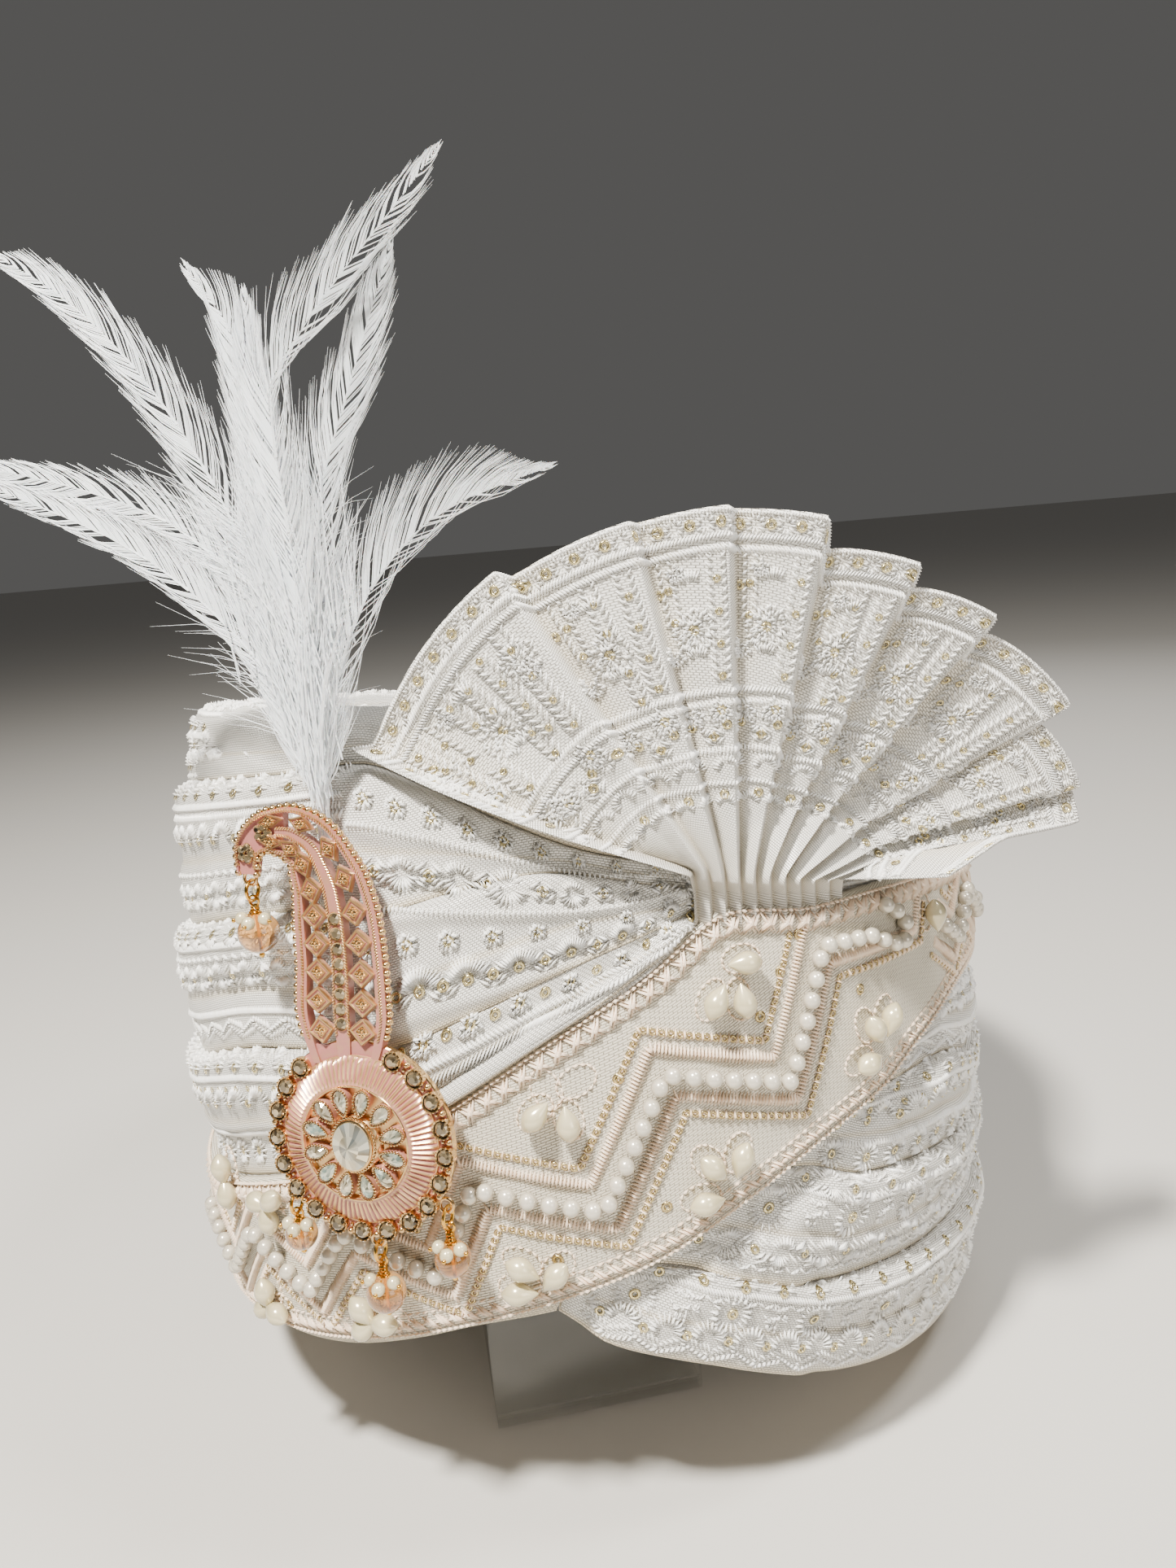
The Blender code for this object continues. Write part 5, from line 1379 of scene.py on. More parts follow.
def make_fan():
    front, back, lines = fan_nets()
    net = np.concatenate([front, back], 1)
    # Painted shade: the pleats' valleys and the cloth towards their feet at the knot get the warmer, darker
    # crease colour
    tone = np.repeat(((1 - lines[:, 2]) ** 3 * 0.55)[:, None], net.shape[1], 1)
    knot = 1 - fade(np.linspace(0, 1, front.shape[1]) * 3.0)
    tone += 0.25 * np.concatenate([knot, knot[::-1]])[None]
    thing = skin("pleated_fan", net, [white_satin], painted_crease_shade=np.clip(tone, 0, 1))
    finish_piece(thing, "white_cloth", "fan")
    face = Face(front, facing=(0, -1, 0))
    where = np.linspace(0, 1, len(lines))

    def u_at(pleat):
        return np.interp(pleat, lines[:, 4], where)

    def up(share):
        return (share - FAN_TUCK) / (1 - FAN_TUCK)

    rows = []
    last = float(u_at(9.9))
    for v, *sewing in FAN_LINES:
        rows.append(line_of(face, up(v), *sewing, 1.2, end=last))
    rows.append(row_of(face, SMALL_BURST, up(0.96), 7.2, shift=0.5, height=1.0, end=last))
    discs = [sequins_at(face, up(0.96), 7.2, 2.7, end=last)]
    rows.append(row_of(face, SHELL, up(0.31), 7.0, height=1.0, size=0.8, end=last))
    discs.append(sequins_at(face, up(0.43), 8.5, 2.4, end=last))
    rows.append(row_of(face, SMALL_BURST, up(0.43), 8.5, shift=0.5, height=1.0, end=last))
    rows.append(row_of(face, spokes(9, 0.5, 3.4, 25, 155, 0.5), up(0.21), 5.0, height=1.0, end=last))
    folds = [row[0] for row in FAN_FOLDS] + [FAN_LAST_EDGE[0]]
    for pleat in range(9):
        wide = folds[pleat] - folds[pleat + 1]
        size = min(1.2, 0.62 + wide / 45)
        for least, along, low, high, leaf, way in FAN_FRONDS:
            if wide <= least:
                continue
            line = np.arange(low, high, 0.0225)
            u = np.full(len(line), u_at(pleat + along))
            aside = leaf * 0.36 * MM / face.stretch(u, up(line))[0]
            long = leaf * size * (1 - 0.35 * (line - low) / (high - low))
            for side in (-1, 1):
                turn = way * (90 - side * 42)
                rows.append(stitches(u + side * aside, up(line), turn, long, 0.62, 1.3))
            spine = np.arange(low, high, 0.085)
            discs.append(stitches(u_at(pleat + along), up(spine), 0, 1.9, 1.9, 1.3))
        for least, motif, along, v, turn, share in FAN_MOTIFS:
            if wide > least:
                rows.append(stamp(face, motif, [(u_at(pleat + along), up(v), turn, size * share)], 1.2))
        for along, v in ((0.52, 0.69), (0.60, 0.40), (0.80, 0.47), (0.18, 0.80), (0.7, 0.24)):
            discs.append(stitches(u_at(pleat + along), up(v), 0, 2.4, 2.4, 1.5))
    sewn = lay("fan_stitching", face, STITCH, rows, white_floss, "white_cloth")
    shiny = lay("fan_sequins", face, SEQUIN, discs, sequin_gold, "gold_wire", SEQUIN_SINK)


# Forms modelled for the brooch and its drops


def moved(points, place):
    if place is None:
        return points
    spot = np.array(place)
    return points @ spot[:3, :3].T + spot[:3, 3]


class Heap:
    """Gathers forms into one mesh, each with a material slot and how far its finish is rubbed."""

    def __init__(self):
        self.points, self.faces, self.slots, self.wear = [], [], [], []
        self.count = 0

    def add(self, form, place=None, slot=0, wear=0.0):
        points, faces = form
        self.points.append(moved(points, place))
        self.faces += [[k + self.count for k in f] for f in faces]
        self.slots += [slot] * len(faces)
        self.wear.append(np.broadcast_to(wear, len(points)))
        self.count += len(points)

    def make(self, name, materials, place=None, sharp=35):
        thing = link_mesh(name, moved(np.concatenate(self.points), place), self.faces, materials)
        mesh = thing.data
        mesh.polygons.foreach_set("material_index", np.array(self.slots, np.int32))
        set_values(mesh, "wear", np.concatenate(self.wear))
        # A random value per face, which cut glass reads as painted glints and dark reflections
        tones = mesh.attributes.new("facet_glint", "FLOAT", "FACE")
        tones.data.foreach_set("value", dice.uniform(0, 1, len(self.faces)).astype(np.float32))
        turn_outward(mesh)
        deselect()
        thing.select_set(True)
        bpy.context.view_layer.objects.active = thing
        bpy.ops.object.shade_smooth_by_angle(angle=math.radians(sharp))
        return thing


def pick_faces(thing, test):
    """Goes into edit mode with only the faces selected that pass a test."""
    bpy.ops.object.mode_set(mode="EDIT")
    bpy.ops.mesh.select_mode(type="FACE")
    bpy.ops.mesh.select_all(action="DESELECT")
    bpy.ops.object.mode_set(mode="OBJECT")
    for face in thing.data.polygons:
        face.select = test(face)
    bpy.ops.object.mode_set(mode="EDIT")


def turned(sides, rows):
    """A turned form: a disc extruded up and drawn in from row to row of radius, height and twist."""
    deselect()
    bpy.ops.mesh.primitive_circle_add(vertices=sides, radius=rows[0][0], fill_type="NGON")
    thing = bpy.context.object
    edit_all()
    bpy.ops.transform.translate(value=(0, 0, rows[0][1]))
    for before, row in zip(rows, rows[1:]):
        bpy.ops.mesh.extrude_region_move(TRANSFORM_OT_translate={"value": (0, 0, row[1] - before[1])})
        draw_in = row[0] / before[0]
        bpy.ops.transform.resize(value=(draw_in, draw_in, 1), center_override=(0, 0, 0))
        if len(row) > 2:
            bpy.ops.transform.rotate(
                value=math.radians(row[2]), orient_axis="Z", center_override=(0, 0, 0)
            )
    bpy.ops.mesh.select_all(action="DESELECT")
    bpy.ops.mesh.select_mode(type="EDGE")
    bpy.ops.mesh.select_non_manifold()
    bpy.ops.mesh.edge_face_add()
    bpy.ops.object.mode_set(mode="OBJECT")
    return take_form(thing)


def ring_form(radius, wire, sides=24, wire_sides=8):
    deselect()
    bpy.ops.mesh.primitive_torus_add(
        major_radius=radius, minor_radius=wire, major_segments=sides, minor_segments=wire_sides
    )
    return take_form(bpy.context.object)


def model_lozenge():
    """A diamond with a raised double rim, one unit from its middle to each corner."""
    deselect()
    bpy.ops.mesh.primitive_cone_add(vertices=4, radius1=1.0, radius2=0.86, depth=1.0)
    thing = bpy.context.object
    for drop, inset in ((0, 0.09), (-0.3, 0.05), (0, 0.08), (0.26, 0.04), (0, 0.06), (-0.3, 0.05)):
        pick_faces(thing, lambda face: face.normal.z > 0.9 and abs(face.center.x) < 0.01)
        bpy.ops.mesh.inset(thickness=inset)
        bpy.ops.transform.translate(value=(0, 0, drop))
        bpy.ops.object.mode_set(mode="OBJECT")
    return take_form(thing)


def bent_strip(first, last, inner, outer, high):
    """A bar along the neck: a grid laid between two lines beside its middle, then thickened."""
    deselect()
    bpy.ops.mesh.primitive_grid_add(x_subdivisions=60, y_subdivisions=1, size=2)
    thing = bpy.context.object
    for v in thing.data.vertices:
        along = lerp(first, last, (v.co.x + 1) / 2)
        v.co = neck_spot(along, lerp(inner, outer, (v.co.y + 1) / 2), 0)
    edit_all()
    bpy.ops.mesh.extrude_region_move(TRANSFORM_OT_translate={"value": (0, 0, high)})
    bpy.ops.object.mode_set(mode="OBJECT")
    return take_form(thing)


# Brooch

NECK_SIZE = 0.080
NECK_THICKNESS = 0.0030
NECK_ROWS = (
    (-0.035, 0.225, 0.104), (-0.035, 0.290, 0.128), (-0.035, 0.388, 0.148), (-0.030, 0.518, 0.142),
    (-0.034, 0.644, 0.137), (-0.046, 0.746, 0.124), (-0.068, 0.810, 0.110), (-0.095, 0.866, 0.096),
    (-0.134, 0.900, 0.087), (-0.183, 0.920, 0.075), (-0.238, 0.922, 0.062), (-0.293, 0.900, 0.048),
    (-0.324, 0.856, 0.039), (-0.328, 0.792, 0.030),
)
_rows = np.array(NECK_ROWS)
NECK_LINE = np.column_stack([run_along(_rows[:, :2]), _rows]) * NECK_SIZE
NECK_LENGTH = NECK_LINE[-1, 0]
DISC_RADIUS = 0.024
FLANGE = 0.0024
PLATEAU = 0.0056
RIM_STONES = 18
RIM_STONE_RADIUS = 0.0021
RIM_STONE_HEIGHT = 0.0024
RIM_RING = DISC_RADIUS - RIM_STONE_RADIUS * 0.8
PETALS = 12
PETAL_RING = 0.0104
PETAL_LENGTH = 0.0066
PETAL_WIDTH = 0.0040
PETAL_HEIGHT = 0.0021
CENTRE_LENGTH = 0.0122
CENTRE_WIDTH = 0.0104
CENTRE_HEIGHT = 0.0030
CENTRE_BOSS = 0.0008
EYELET_RADIUS = 0.0017
EYELET_WIRE = 0.00045
RING_RADIUS = 0.0025
RING_WIRE = 0.00045
LOOP_RADIUS = 0.0013
LOOP_WIRE = 0.0004
DROP_PEARL_RADIUS = 0.0018
LINK_PLAY = 0.0003
# Each drop: where its eyelet is, the bead's radius and the length of wire above it
DROPS = (
    (-0.0201, -0.0156, 0.0041, 0.0004), (0.0023, -0.0251, 0.0050, 0.0026),
    (0.0207, -0.0149, 0.0045, 0.0026), (-0.0262, 0.0622, 0.0052, 0.0016),
)


def brooch_place():
    """X across, Y up its face, Z out of it, from the middle of the disc's back."""
    turn, lean = math.radians(BROOCH_TURN), math.radians(BROOCH_LEAN)
    out = Vector((math.sin(turn) * math.cos(lean), -math.cos(turn) * math.cos(lean), math.sin(lean)))
    across = Vector((math.cos(turn), math.sin(turn), 0))
    place = Matrix((across, out.cross(across), out)).transposed().to_4x4()
    spot = crown_point(BROOCH_ANGLE, BROOCH_UP * CROWN_HEIGHT, BROOCH_STAND_OFF)
    place.translation = Vector(spot)
    return place


def neck_spot(along, aside, z):
    """A point of the neck, aside in shares of its half width."""
    x, y, half = (float(smooth(NECK_LINE, along, column)) for column in (1, 2, 3))
    near = [np.clip(along + step, 0, NECK_LENGTH) for step in (0.0004, -0.0004)]
    run = Vector([float(smooth(NECK_LINE, near[0], c) - smooth(NECK_LINE, near[1], c)) for c in (1, 2)])
    run.normalize()
    return Vector((x - run.y * half * aside, y + run.x * half * aside, z))


def neck_row(first, last, pitch, aside, z):
    """Places along the neck with the direction of travel in degrees."""
    fine = np.linspace(first, last, 160)
    points = np.array([neck_spot(a, aside, z)[:] for a in fine])
    run = run_along(points)
    spots = np.arange(pitch / 2, run[-1], pitch)
    x, y = np.interp(spots, run, points[:, 0]), np.interp(spots, run, points[:, 1])
    slope = np.gradient(points, axis=0)
    turn = np.arctan2(np.interp(spots, run, slope[:, 1]), np.interp(spots, run, slope[:, 0]))
    return [(Vector((a, b, z)), t) for a, b, t in zip(x, y, turn)]


def way_at(turn):
    return Vector((math.cos(turn), math.sin(turn), 0))


def lifted(spot, by):
    """A place moved along Z by some millimetres."""
    return spot + Vector((0, 0, by * MM))


def ring_turns(count):
    """Angles evenly round a ring."""
    return [2 * math.pi * k / count for k in range(count)]


def spun(spot, turn, size):
    return Matrix.Translation(spot) @ Matrix.Rotation(turn, 4, "Z") @ Matrix.Diagonal((*size, 1))


def pinch(around):
    """How far a petal's outline is drawn in, narrow towards its point at -X."""
    return 0.5 + 0.5 * np.sin(math.pi * (0.5 + 0.5 * np.cos(around)) / 1.6)


def petal_shape(form, length, width):
    """Draws a round form out to a teardrop that points to -X."""
    points = form[0].copy()
    around = np.arctan2(points[:, 1], points[:, 0])
    points[:, 0] *= length / 2
    points[:, 1] *= width / 2 * pinch(around)
    return points, form[1]


def petal_place(i, z):
    turn = Matrix.Rotation(2 * math.pi * (i + 0.5) / PETALS, 4, "Z")
    return turn @ Matrix.Translation((PETAL_RING, 0, z))


def make_disc(heap):
    ridge_rows = [(lerp(20.0, 14.5, t / 9), 2.9 + 2.5 * (t / 9) ** 0.6) for t in range(10)]
    rows = [(23.4, 1.9), (23.7, 2.3), (23.2, 2.5), (20.5, 2.4), *ridge_rows]
    rows += [(14.1, 5.6), (13.6, 5.5), (13.4, 5.2), (13.2, 4.3), (10.0, 4.2), (7.0, 4.3)]
    rows += [(6.8, 5.2), (6.5, 5.6), (5.8, 6.1), (5.5, 6.3), (2.0, 6.3)]
    points, faces = turned(352, [(r * MM, z * MM) for r, z in rows])
    radius = np.hypot(points[:, 0], points[:, 1]) / MM
    around = np.arctan2(points[:, 1], points[:, 0])
    share = np.clip(np.minimum(radius - 14.4, 20.2 - radius) / 0.8, 0, 1)
    ridge = np.cos(around * 88) * share
    points[:, 2] += 0.30 * MM * ridge
    scallop = np.abs(np.cos(around * RIM_STONES / 2 + 0.6)) * np.clip((radius - 17.5) / 3, 0, 1)
    points[:, :2] *= 1 + 0.03 * (scallop * (radius < 20.4))[:, None]
    wear = np.where(share > 0, 0.50 + 0.7 * ridge, 0.25)
    wear = np.where(radius < 13.45, 0.95, wear)
    heap.add((points, faces), wear=np.clip(wear, 0, 1))
    wall = [(22.9, 0), (23.9, 0.5), (24.0, 1.2), (23.9, 1.8), (23.5, 2.1), (20, 2.1)]
    heap.add(turned(96, [(r * MM, z * MM) for r, z in wall]), slot=1)
    heap.add(ring_form(13.85 * MM, 0.30 * MM, 96, 6), at((0, 0, 5.55 * MM)), 1)
    heap.add(ring_form(20.35 * MM, 0.22 * MM, 96, 6), at((0, 0, 2.75 * MM)), 0, 0.7)


def rim_turn(i):
    """Where a stone of the rim sits: they leave out the part where the neck joins."""
    return math.radians(lerp(63.0, -229.0, i / (RIM_STONES - 1)))


def make_settings(heap):
    """Cups, claws and beads that hold the stones, and the ring round the centre stone."""
    cup = turned(16, [(r, z) for r, z in ((1.0, 0.0), (1.04, 0.5), (1.0, 1.0), (0.86, 0.9), (0.8, 0.3))])
    for i in range(RIM_STONES):
        spot = lifted(way_at(rim_turn(i)) * RIM_RING, 2.2)
        heap.add(cup, spun(spot, rim_turn(i), (2.45 * MM, 2.45 * MM, 1.75 * MM)), 1)
        for a in ring_turns(14):
            heap.add(TINY_BALL, at(lifted(spot + way_at(a) * 2.35 * MM, 1.7), 0.26 * MM), 1)
        if i < RIM_STONES - 1:
            edge = way_at((rim_turn(i) + rim_turn(i + 1)) / 2) * 23.3 * MM
            heap.add(SMALL_BALL, at(lifted(edge, 2.9), 0.85 * MM), 1)
            heap.add(TINY_BALL, at(lifted(edge * 0.93, 2.8), 0.5 * MM), 1)
    petal = turned(24, [(1.0, 0.0), (1.0, 0.55), (0.96, 0.9), (0.84, 1.0), (0.78, 0.8), (0.7, 0.6)])
    form = petal_shape(petal, PETAL_LENGTH * 1.06, PETAL_WIDTH * 1.16)
    for i in range(PETALS):
        place = petal_place(i, 4.1 * MM)
        heap.add(form, place @ Matrix.Diagonal((1, 1, 2.2 * MM, 1)), 0, 0.35)
        for a in ring_turns(26):
            x = PETAL_LENGTH * 0.50 * math.cos(a)
            y = PETAL_WIDTH * 0.54 * math.sin(a) * pinch(a)
            heap.add(TINY_BALL, place @ at((x, y, 2.3 * MM), 0.33 * MM), 1)
    for a in ring_turns(46):
        spot = Vector((5.75 * MM * math.cos(a), 6.55 * MM * math.sin(a), 6.25 * MM))
        heap.add(TINY_BALL, spun(spot, a + 1.0, (0.62 * MM, 0.30 * MM, 0.34 * MM)), 1, 0.8)
    heap.add(ring_form(1.0, 0.10, 48, 8), spun((0, 0, 6.6 * MM), 0, (4.9 * MM, 5.8 * MM, 5 * MM)), 1)
    heap.add(turned(48, [(1, 0), (1, 1), (0.9, 1)]), spun((0, 0, 5.6 * MM), 0, (5.1 * MM, 6.0 * MM, MM)), 1)


def make_neck(heap):
    top = NECK_THICKNESS
    for first, last, inner, outer, high, wear in (
        (0, 1, 0.78, 1.0, 1, 0.3), (0, 1, -1.0, -0.78, 1, 0.3), (0, 0.80, -0.17, 0.17, 1, 0.3),
        (0, 0.0045 / NECK_LENGTH, -1, 1, 0.8, 0.2), (0.775, 1, -0.9, 0.9, 0.8, 0.2),
    ):
        strip = bent_strip(first * NECK_LENGTH, last * NECK_LENGTH, inner, outer, high * top)
        heap.add(strip, wear=wear)
    for side in (-1, 1):
        for spot, _ in neck_row(0.006, NECK_LENGTH, 1.95 * MM, side * 1.04, 2.1 * MM):
            heap.add(SMALL_BALL, at(spot, (0.95 * MM, 0.95 * MM, 1.05 * MM)), 1)
        for first, last, pitch, aside, lean, size, wear in (
            (0.006, 0.98, 0.72, 0.88, 0.8, (0.62, 0.27, 0.42), 0.75),
            (0.007, 0.80, 0.70, 0.15, -0.8, (0.60, 0.26, 0.45), 0.8),
        ):
            for spot, turn in neck_row(first, NECK_LENGTH * last, pitch * MM, side * aside, top):
                grain = spun(spot, turn + side * lean, [s * MM for s in size])
                heap.add(TINY_BALL, grain, 0, wear)
    lozenge_form = model_lozenge()
    rims = np.where(lozenge_form[0][:, 2] > 0.35, 1.0, 0.3)
    for i in range(9):
        along = 0.0084 + 0.0070 * i
        for side in (-0.50, 0.50):
            spot = neck_spot(along, side, top)
            ahead = neck_spot(along + 0.001, side, 0) - neck_spot(along, side, 0)
            size = (3.7 * MM, float(smooth(NECK_LINE, along, 3)) * 0.35, 1.3 * MM)
            heap.add(lozenge_form, spun(spot, math.atan2(ahead.y, ahead.x), size), 0, rims)
            heap.add(TINY_BALL, at(lifted(spot, 0.4), (1.5 * MM, 1.2 * MM, 0.75 * MM)), 1)
            for a in ring_turns(6):
                grain = spot + Vector((math.cos(a) * 0.95, math.sin(a) * 0.8, 0.9)) * MM
                heap.add(TINY_BALL, at(grain, 0.38 * MM), 1)
            heap.add(TINY_BALL, at(lifted(spot, 1.2), 0.40 * MM), 1)


def neck_stones():
    """Middle of each small dark stone on the neck: a column below and two clusters in the hook."""
    spots = [neck_spot(0.0100 + 0.0036 * i, 0, NECK_THICKNESS) for i in range(8)]
    for along in (0.845, 0.935):
        middle = neck_spot(NECK_LENGTH * along, 0, NECK_THICKNESS * 0.85)
        spots += [middle + way_at(a) * 1.45 * MM for a in ring_turns(5)]
    return spots


def make_brooch():
    place = brooch_place()
    heap = Heap()
    make_disc(heap)
    make_settings(heap)
    make_neck(heap)
    for x, y, _, _ in DROPS:
        heap.add(ring_form(EYELET_RADIUS, EYELET_WIRE, 20, 8), at((x, y, FLANGE / 2)), 1)
    stone = turned(8, [(1.0, 0.0), (1.0, 0.35), (0.55, 0.8, 22.5)])
    stones = Heap()
    for k, spot in enumerate(neck_stones()):
        size = 1.45 * MM if k < 8 else 1.0 * MM
        stones.add(stone, at(spot, (size, size, 1.3 * MM)))
        heap.add(ring_form(1.0, 0.16, 16, 5), at(lifted(spot, 0.3), size * 1.02), 1)
    finish_piece(heap.make("cast_brooch", [enamel, rose_gold], place), "enamel", "brooch")
    finish_piece(stones.make("neck_stones", [smoky_stone], place, 5), "crystal")
    make_stones(place)


def make_stones(place):
    """Foiled stones: a girdle, a row of kite facets, a row of star facets and a small table."""
    brilliant = turned(10, [(1.0, 0.0), (1.0, 0.42), (0.74, 0.78, 18), (0.42, 1.0, 18)])
    pear = turned(14, [(1.0, 0.0), (1.0, 0.30), (0.62, 0.72, 12.8), (0.22, 1.0, 12.8)])
    pointed = turned(20, [(1.0, 0.0), (1.0, 0.28), (0.52, 0.70, 9), (0.02, 1.0, 9)])

    def set_stone(name, form, spot, made, node):
        cut = Heap()
        cut.add(form, spot)
        finish_piece(cut.make(name, [made], place, 5), "crystal", node)

    size = (RIM_STONE_RADIUS * 0.93, RIM_STONE_RADIUS * 0.93, RIM_STONE_HEIGHT * 0.9)
    for i in range(RIM_STONES):
        spot = way_at(rim_turn(i)) * RIM_RING + Vector((0, 0, FLANGE + GAP))
        spot = spun(spot, rim_turn(i), size)
        set_stone(f"rim_brilliant_{i + 1}", brilliant, spot, smoky_stone, f"rim_stone_{i + 1}")
    form = petal_shape(pear, PETAL_LENGTH * 0.86, PETAL_WIDTH * 0.88)
    for i in range(PETALS):
        spot = petal_place(i, PLATEAU + GAP) @ Matrix.Diagonal((1, 1, PETAL_HEIGHT * 0.75, 1))
        set_stone(f"petal_pear_{i + 1}", form, spot, aurora_stone, f"petal_stone_{i + 1}")
    size = (CENTRE_WIDTH * 0.47, CENTRE_LENGTH * 0.47, CENTRE_HEIGHT * 0.85)
    spot = spun((0, 0, PLATEAU + CENTRE_BOSS + GAP), 0, size)
    set_stone("centre_rivoli", pointed, spot, champagne_stone, "centre_stone")


# Drops under the brooch


def make_drops():
    place = brooch_place()
    across = (place.to_3x3() @ Vector((1, 0, 0))).normalized()
    out = Vector((across.y, -across.x, 0))
    up = Vector((0, 0, 1))
    level = Matrix((across, up, -out)).transposed()
    edge_on = Matrix((out, up, across)).transposed()
    link = ring_form(RING_RADIUS, RING_WIRE, 28, 8)
    small_link = ring_form(LOOP_RADIUS, LOOP_WIRE * 0.8, 20, 8)
    coil = ring_form(0.85 * MM, 0.26 * MM, 16, 6)
    wire = turned(8, [(0.35 * MM, 0.0), (0.35 * MM, 1.0)])
    round_bead = model_ball(28, 18)
    for i, (x, y, bead, shank) in enumerate(DROPS):
        hang = place @ Vector((x, y, FLANGE / 2))
        ring_centre = hang - up * (EYELET_RADIUS - EYELET_WIRE - RING_WIRE - LINK_PLAY + RING_RADIUS)
        ring = Heap()
        ring.add(link, at(ring_centre, axes=edge_on))
        thing = ring.make(f"bent_jump_ring_{i + 1}", [gold_plate])
        finish_piece(thing, "gold_wire", f"jump_ring_{i + 1}")
        loop_centre = ring_centre - up * (RING_RADIUS - RING_WIRE - LOOP_WIRE - LINK_PLAY + LOOP_RADIUS)
        top = loop_centre - up * LOOP_RADIUS
        centre = top - up * (shank + bead)
        gold = Heap()
        gold.add(small_link, at(loop_centre, axes=level))
        turns = max(2, int((shank + 0.9 * MM) / (0.46 * MM)))
        for k in range(turns):
            tilt = Matrix.Rotation(0.14 * (-1) ** k, 3, "X")
            gold.add(coil, at(top - up * (0.46 * MM * k), axes=tilt))
        gold.add(wire, at(centre - up * (bead + 0.5 * MM), (0.8, 0.8, 2 * bead + 0.8 * MM)))
        foot = centre - up * (bead + 0.5 * MM)
        gold.add(SMALL_BALL, at(foot, 0.75 * MM))
        gold.add(ring_form(1.2 * MM, 0.3 * MM, 16, 6), at(centre + up * bead * 0.97))
        pearls = Heap()
        for side, swing, drop in ((-1, 0.30, 0.0), (1, 0.30, 0.0), (0.15, 0.92, 0.05)):
            spread = across * side * bead * 0.62 + out * bead * swing * 0.9
            spot = centre + up * (bead * (0.66 - drop) + DROP_PEARL_RADIUS * 0.3) + spread
            pearls.add(BALL, at(spot, DROP_PEARL_RADIUS * 0.93))
            reach = (spread - up * 0.55 * MM).normalized()
            gold.add(SMALL_BALL, at(spot + reach * DROP_PEARL_RADIUS * 1.12, 0.55 * MM))
            arm = top - up * 0.2 * MM
            for k in range(7):
                bow = lerp(arm, spot - reach * DROP_PEARL_RADIUS * 0.8, k / 6)
                gold.add(TINY_BALL, at(bow + up * 0.35 * MM * math.sin(k / 6 * math.pi), 0.30 * MM))
        glass = Heap()
        glass.add(round_bead, at(centre, bead * 0.985))
        thing = glass.make(f"glass_bead_{i + 1}", [amber_glass])
        finish_piece(thing, "amber_glass", f"drop_{i + 1}")
        finish_piece(gold.make(f"drop_wire_{i + 1}", [gold_plate]), "gold_wire")
        finish_piece(pearls.make(f"drop_pearls_on_pins_{i + 1}", [pearl_cream]), "pearl")


# Plume

PLUME_STEM_LENGTH = 0.022
PLUME_TURN = -4.0
# Quills in millimetres from the plume's foot (right, up), then barb length and share of both sides
QUILLS = (
    (((0, 0), (-6, 38), (-13, 66), (-26, 94), (-46, 119), (-64, 132)), 10.5, (1.0, 0.8)),
    (((0, 0), (-10, 46), (-25, 66), (-47, 77), (-76, 86)), 8.5, (1.0, 0.9)),
    (((0, 0), (-8, 30), (-20, 47), (-40, 64), (-76, 82)), 8.0, (0.6, 1.0)),
    (((0, 0), (-1, 45), (-3, 80), (-6, 107), (-15, 123)), 10.0, (1.0, 1.0)),
    (((0, 0), (2, 48), (1, 91), (14, 109), (35, 127), (46, 137)), 11.0, (1.0, 0.5)),
    (((0, 0), (4, 40), (8, 69), (19, 94), (32, 121)), 10.5, (0.8, 1.0)),
    (((0, 0), (4, 18), (10, 36), (20, 52), (38, 66), (63, 73)), 11.0, (1.0, 0.15)),
    (((0, 0), (-3, 45), (-3, 85), (-2, 116)), 9.5, (1.0, 1.0)),
)


def hairs(starts, ways, ends, wide, steps=3):
    """Tapered three-sided hairs on curves from a start, towards a way, to an end."""
    count = len(starts)
    t = np.linspace(0, 1, steps + 1)[None, :, None]
    middle = starts + ways
    line = (1 - t) ** 2 * starts[:, None] + 2 * t * (1 - t) * middle[:, None] + t * t * ends[:, None]
    run = np.gradient(line, axis=1)
    run /= np.linalg.norm(run, axis=2, keepdims=True) + 1e-9
    side = np.cross(run, np.array((0.0, -1.0, 0.05)))
    side /= np.linalg.norm(side, axis=2, keepdims=True) + 1e-9
    thick = np.cross(side, run)
    half = (wide[:, None] * (1 - 0.85 * t[..., 0] ** 1.5))[..., None] / 2
    low = line - side * half * 0.6
    rings = np.stack([line + side * half, low + thick * half * 0.7, low - thick * half * 0.7], 2)
    points = rings.reshape(-1, 3)
    base = (np.arange(count) * (steps + 1) * 3)[:, None, None]
    level = (np.arange(steps) * 3)[None, :, None]
    corner = np.arange(3)[None, None]
    here, after = base + level + corner, base + level + (corner + 1) % 3
    quads = np.stack([here, after, after + 3, here + 3], -1).reshape(-1, 4).tolist()
    first = (np.arange(count) * (steps + 1) * 3)[:, None]
    quads += (first + np.array((2, 1, 0))).tolist()
    quads += (first + steps * 3 + np.array((0, 1, 2))).tolist()
    return points, quads


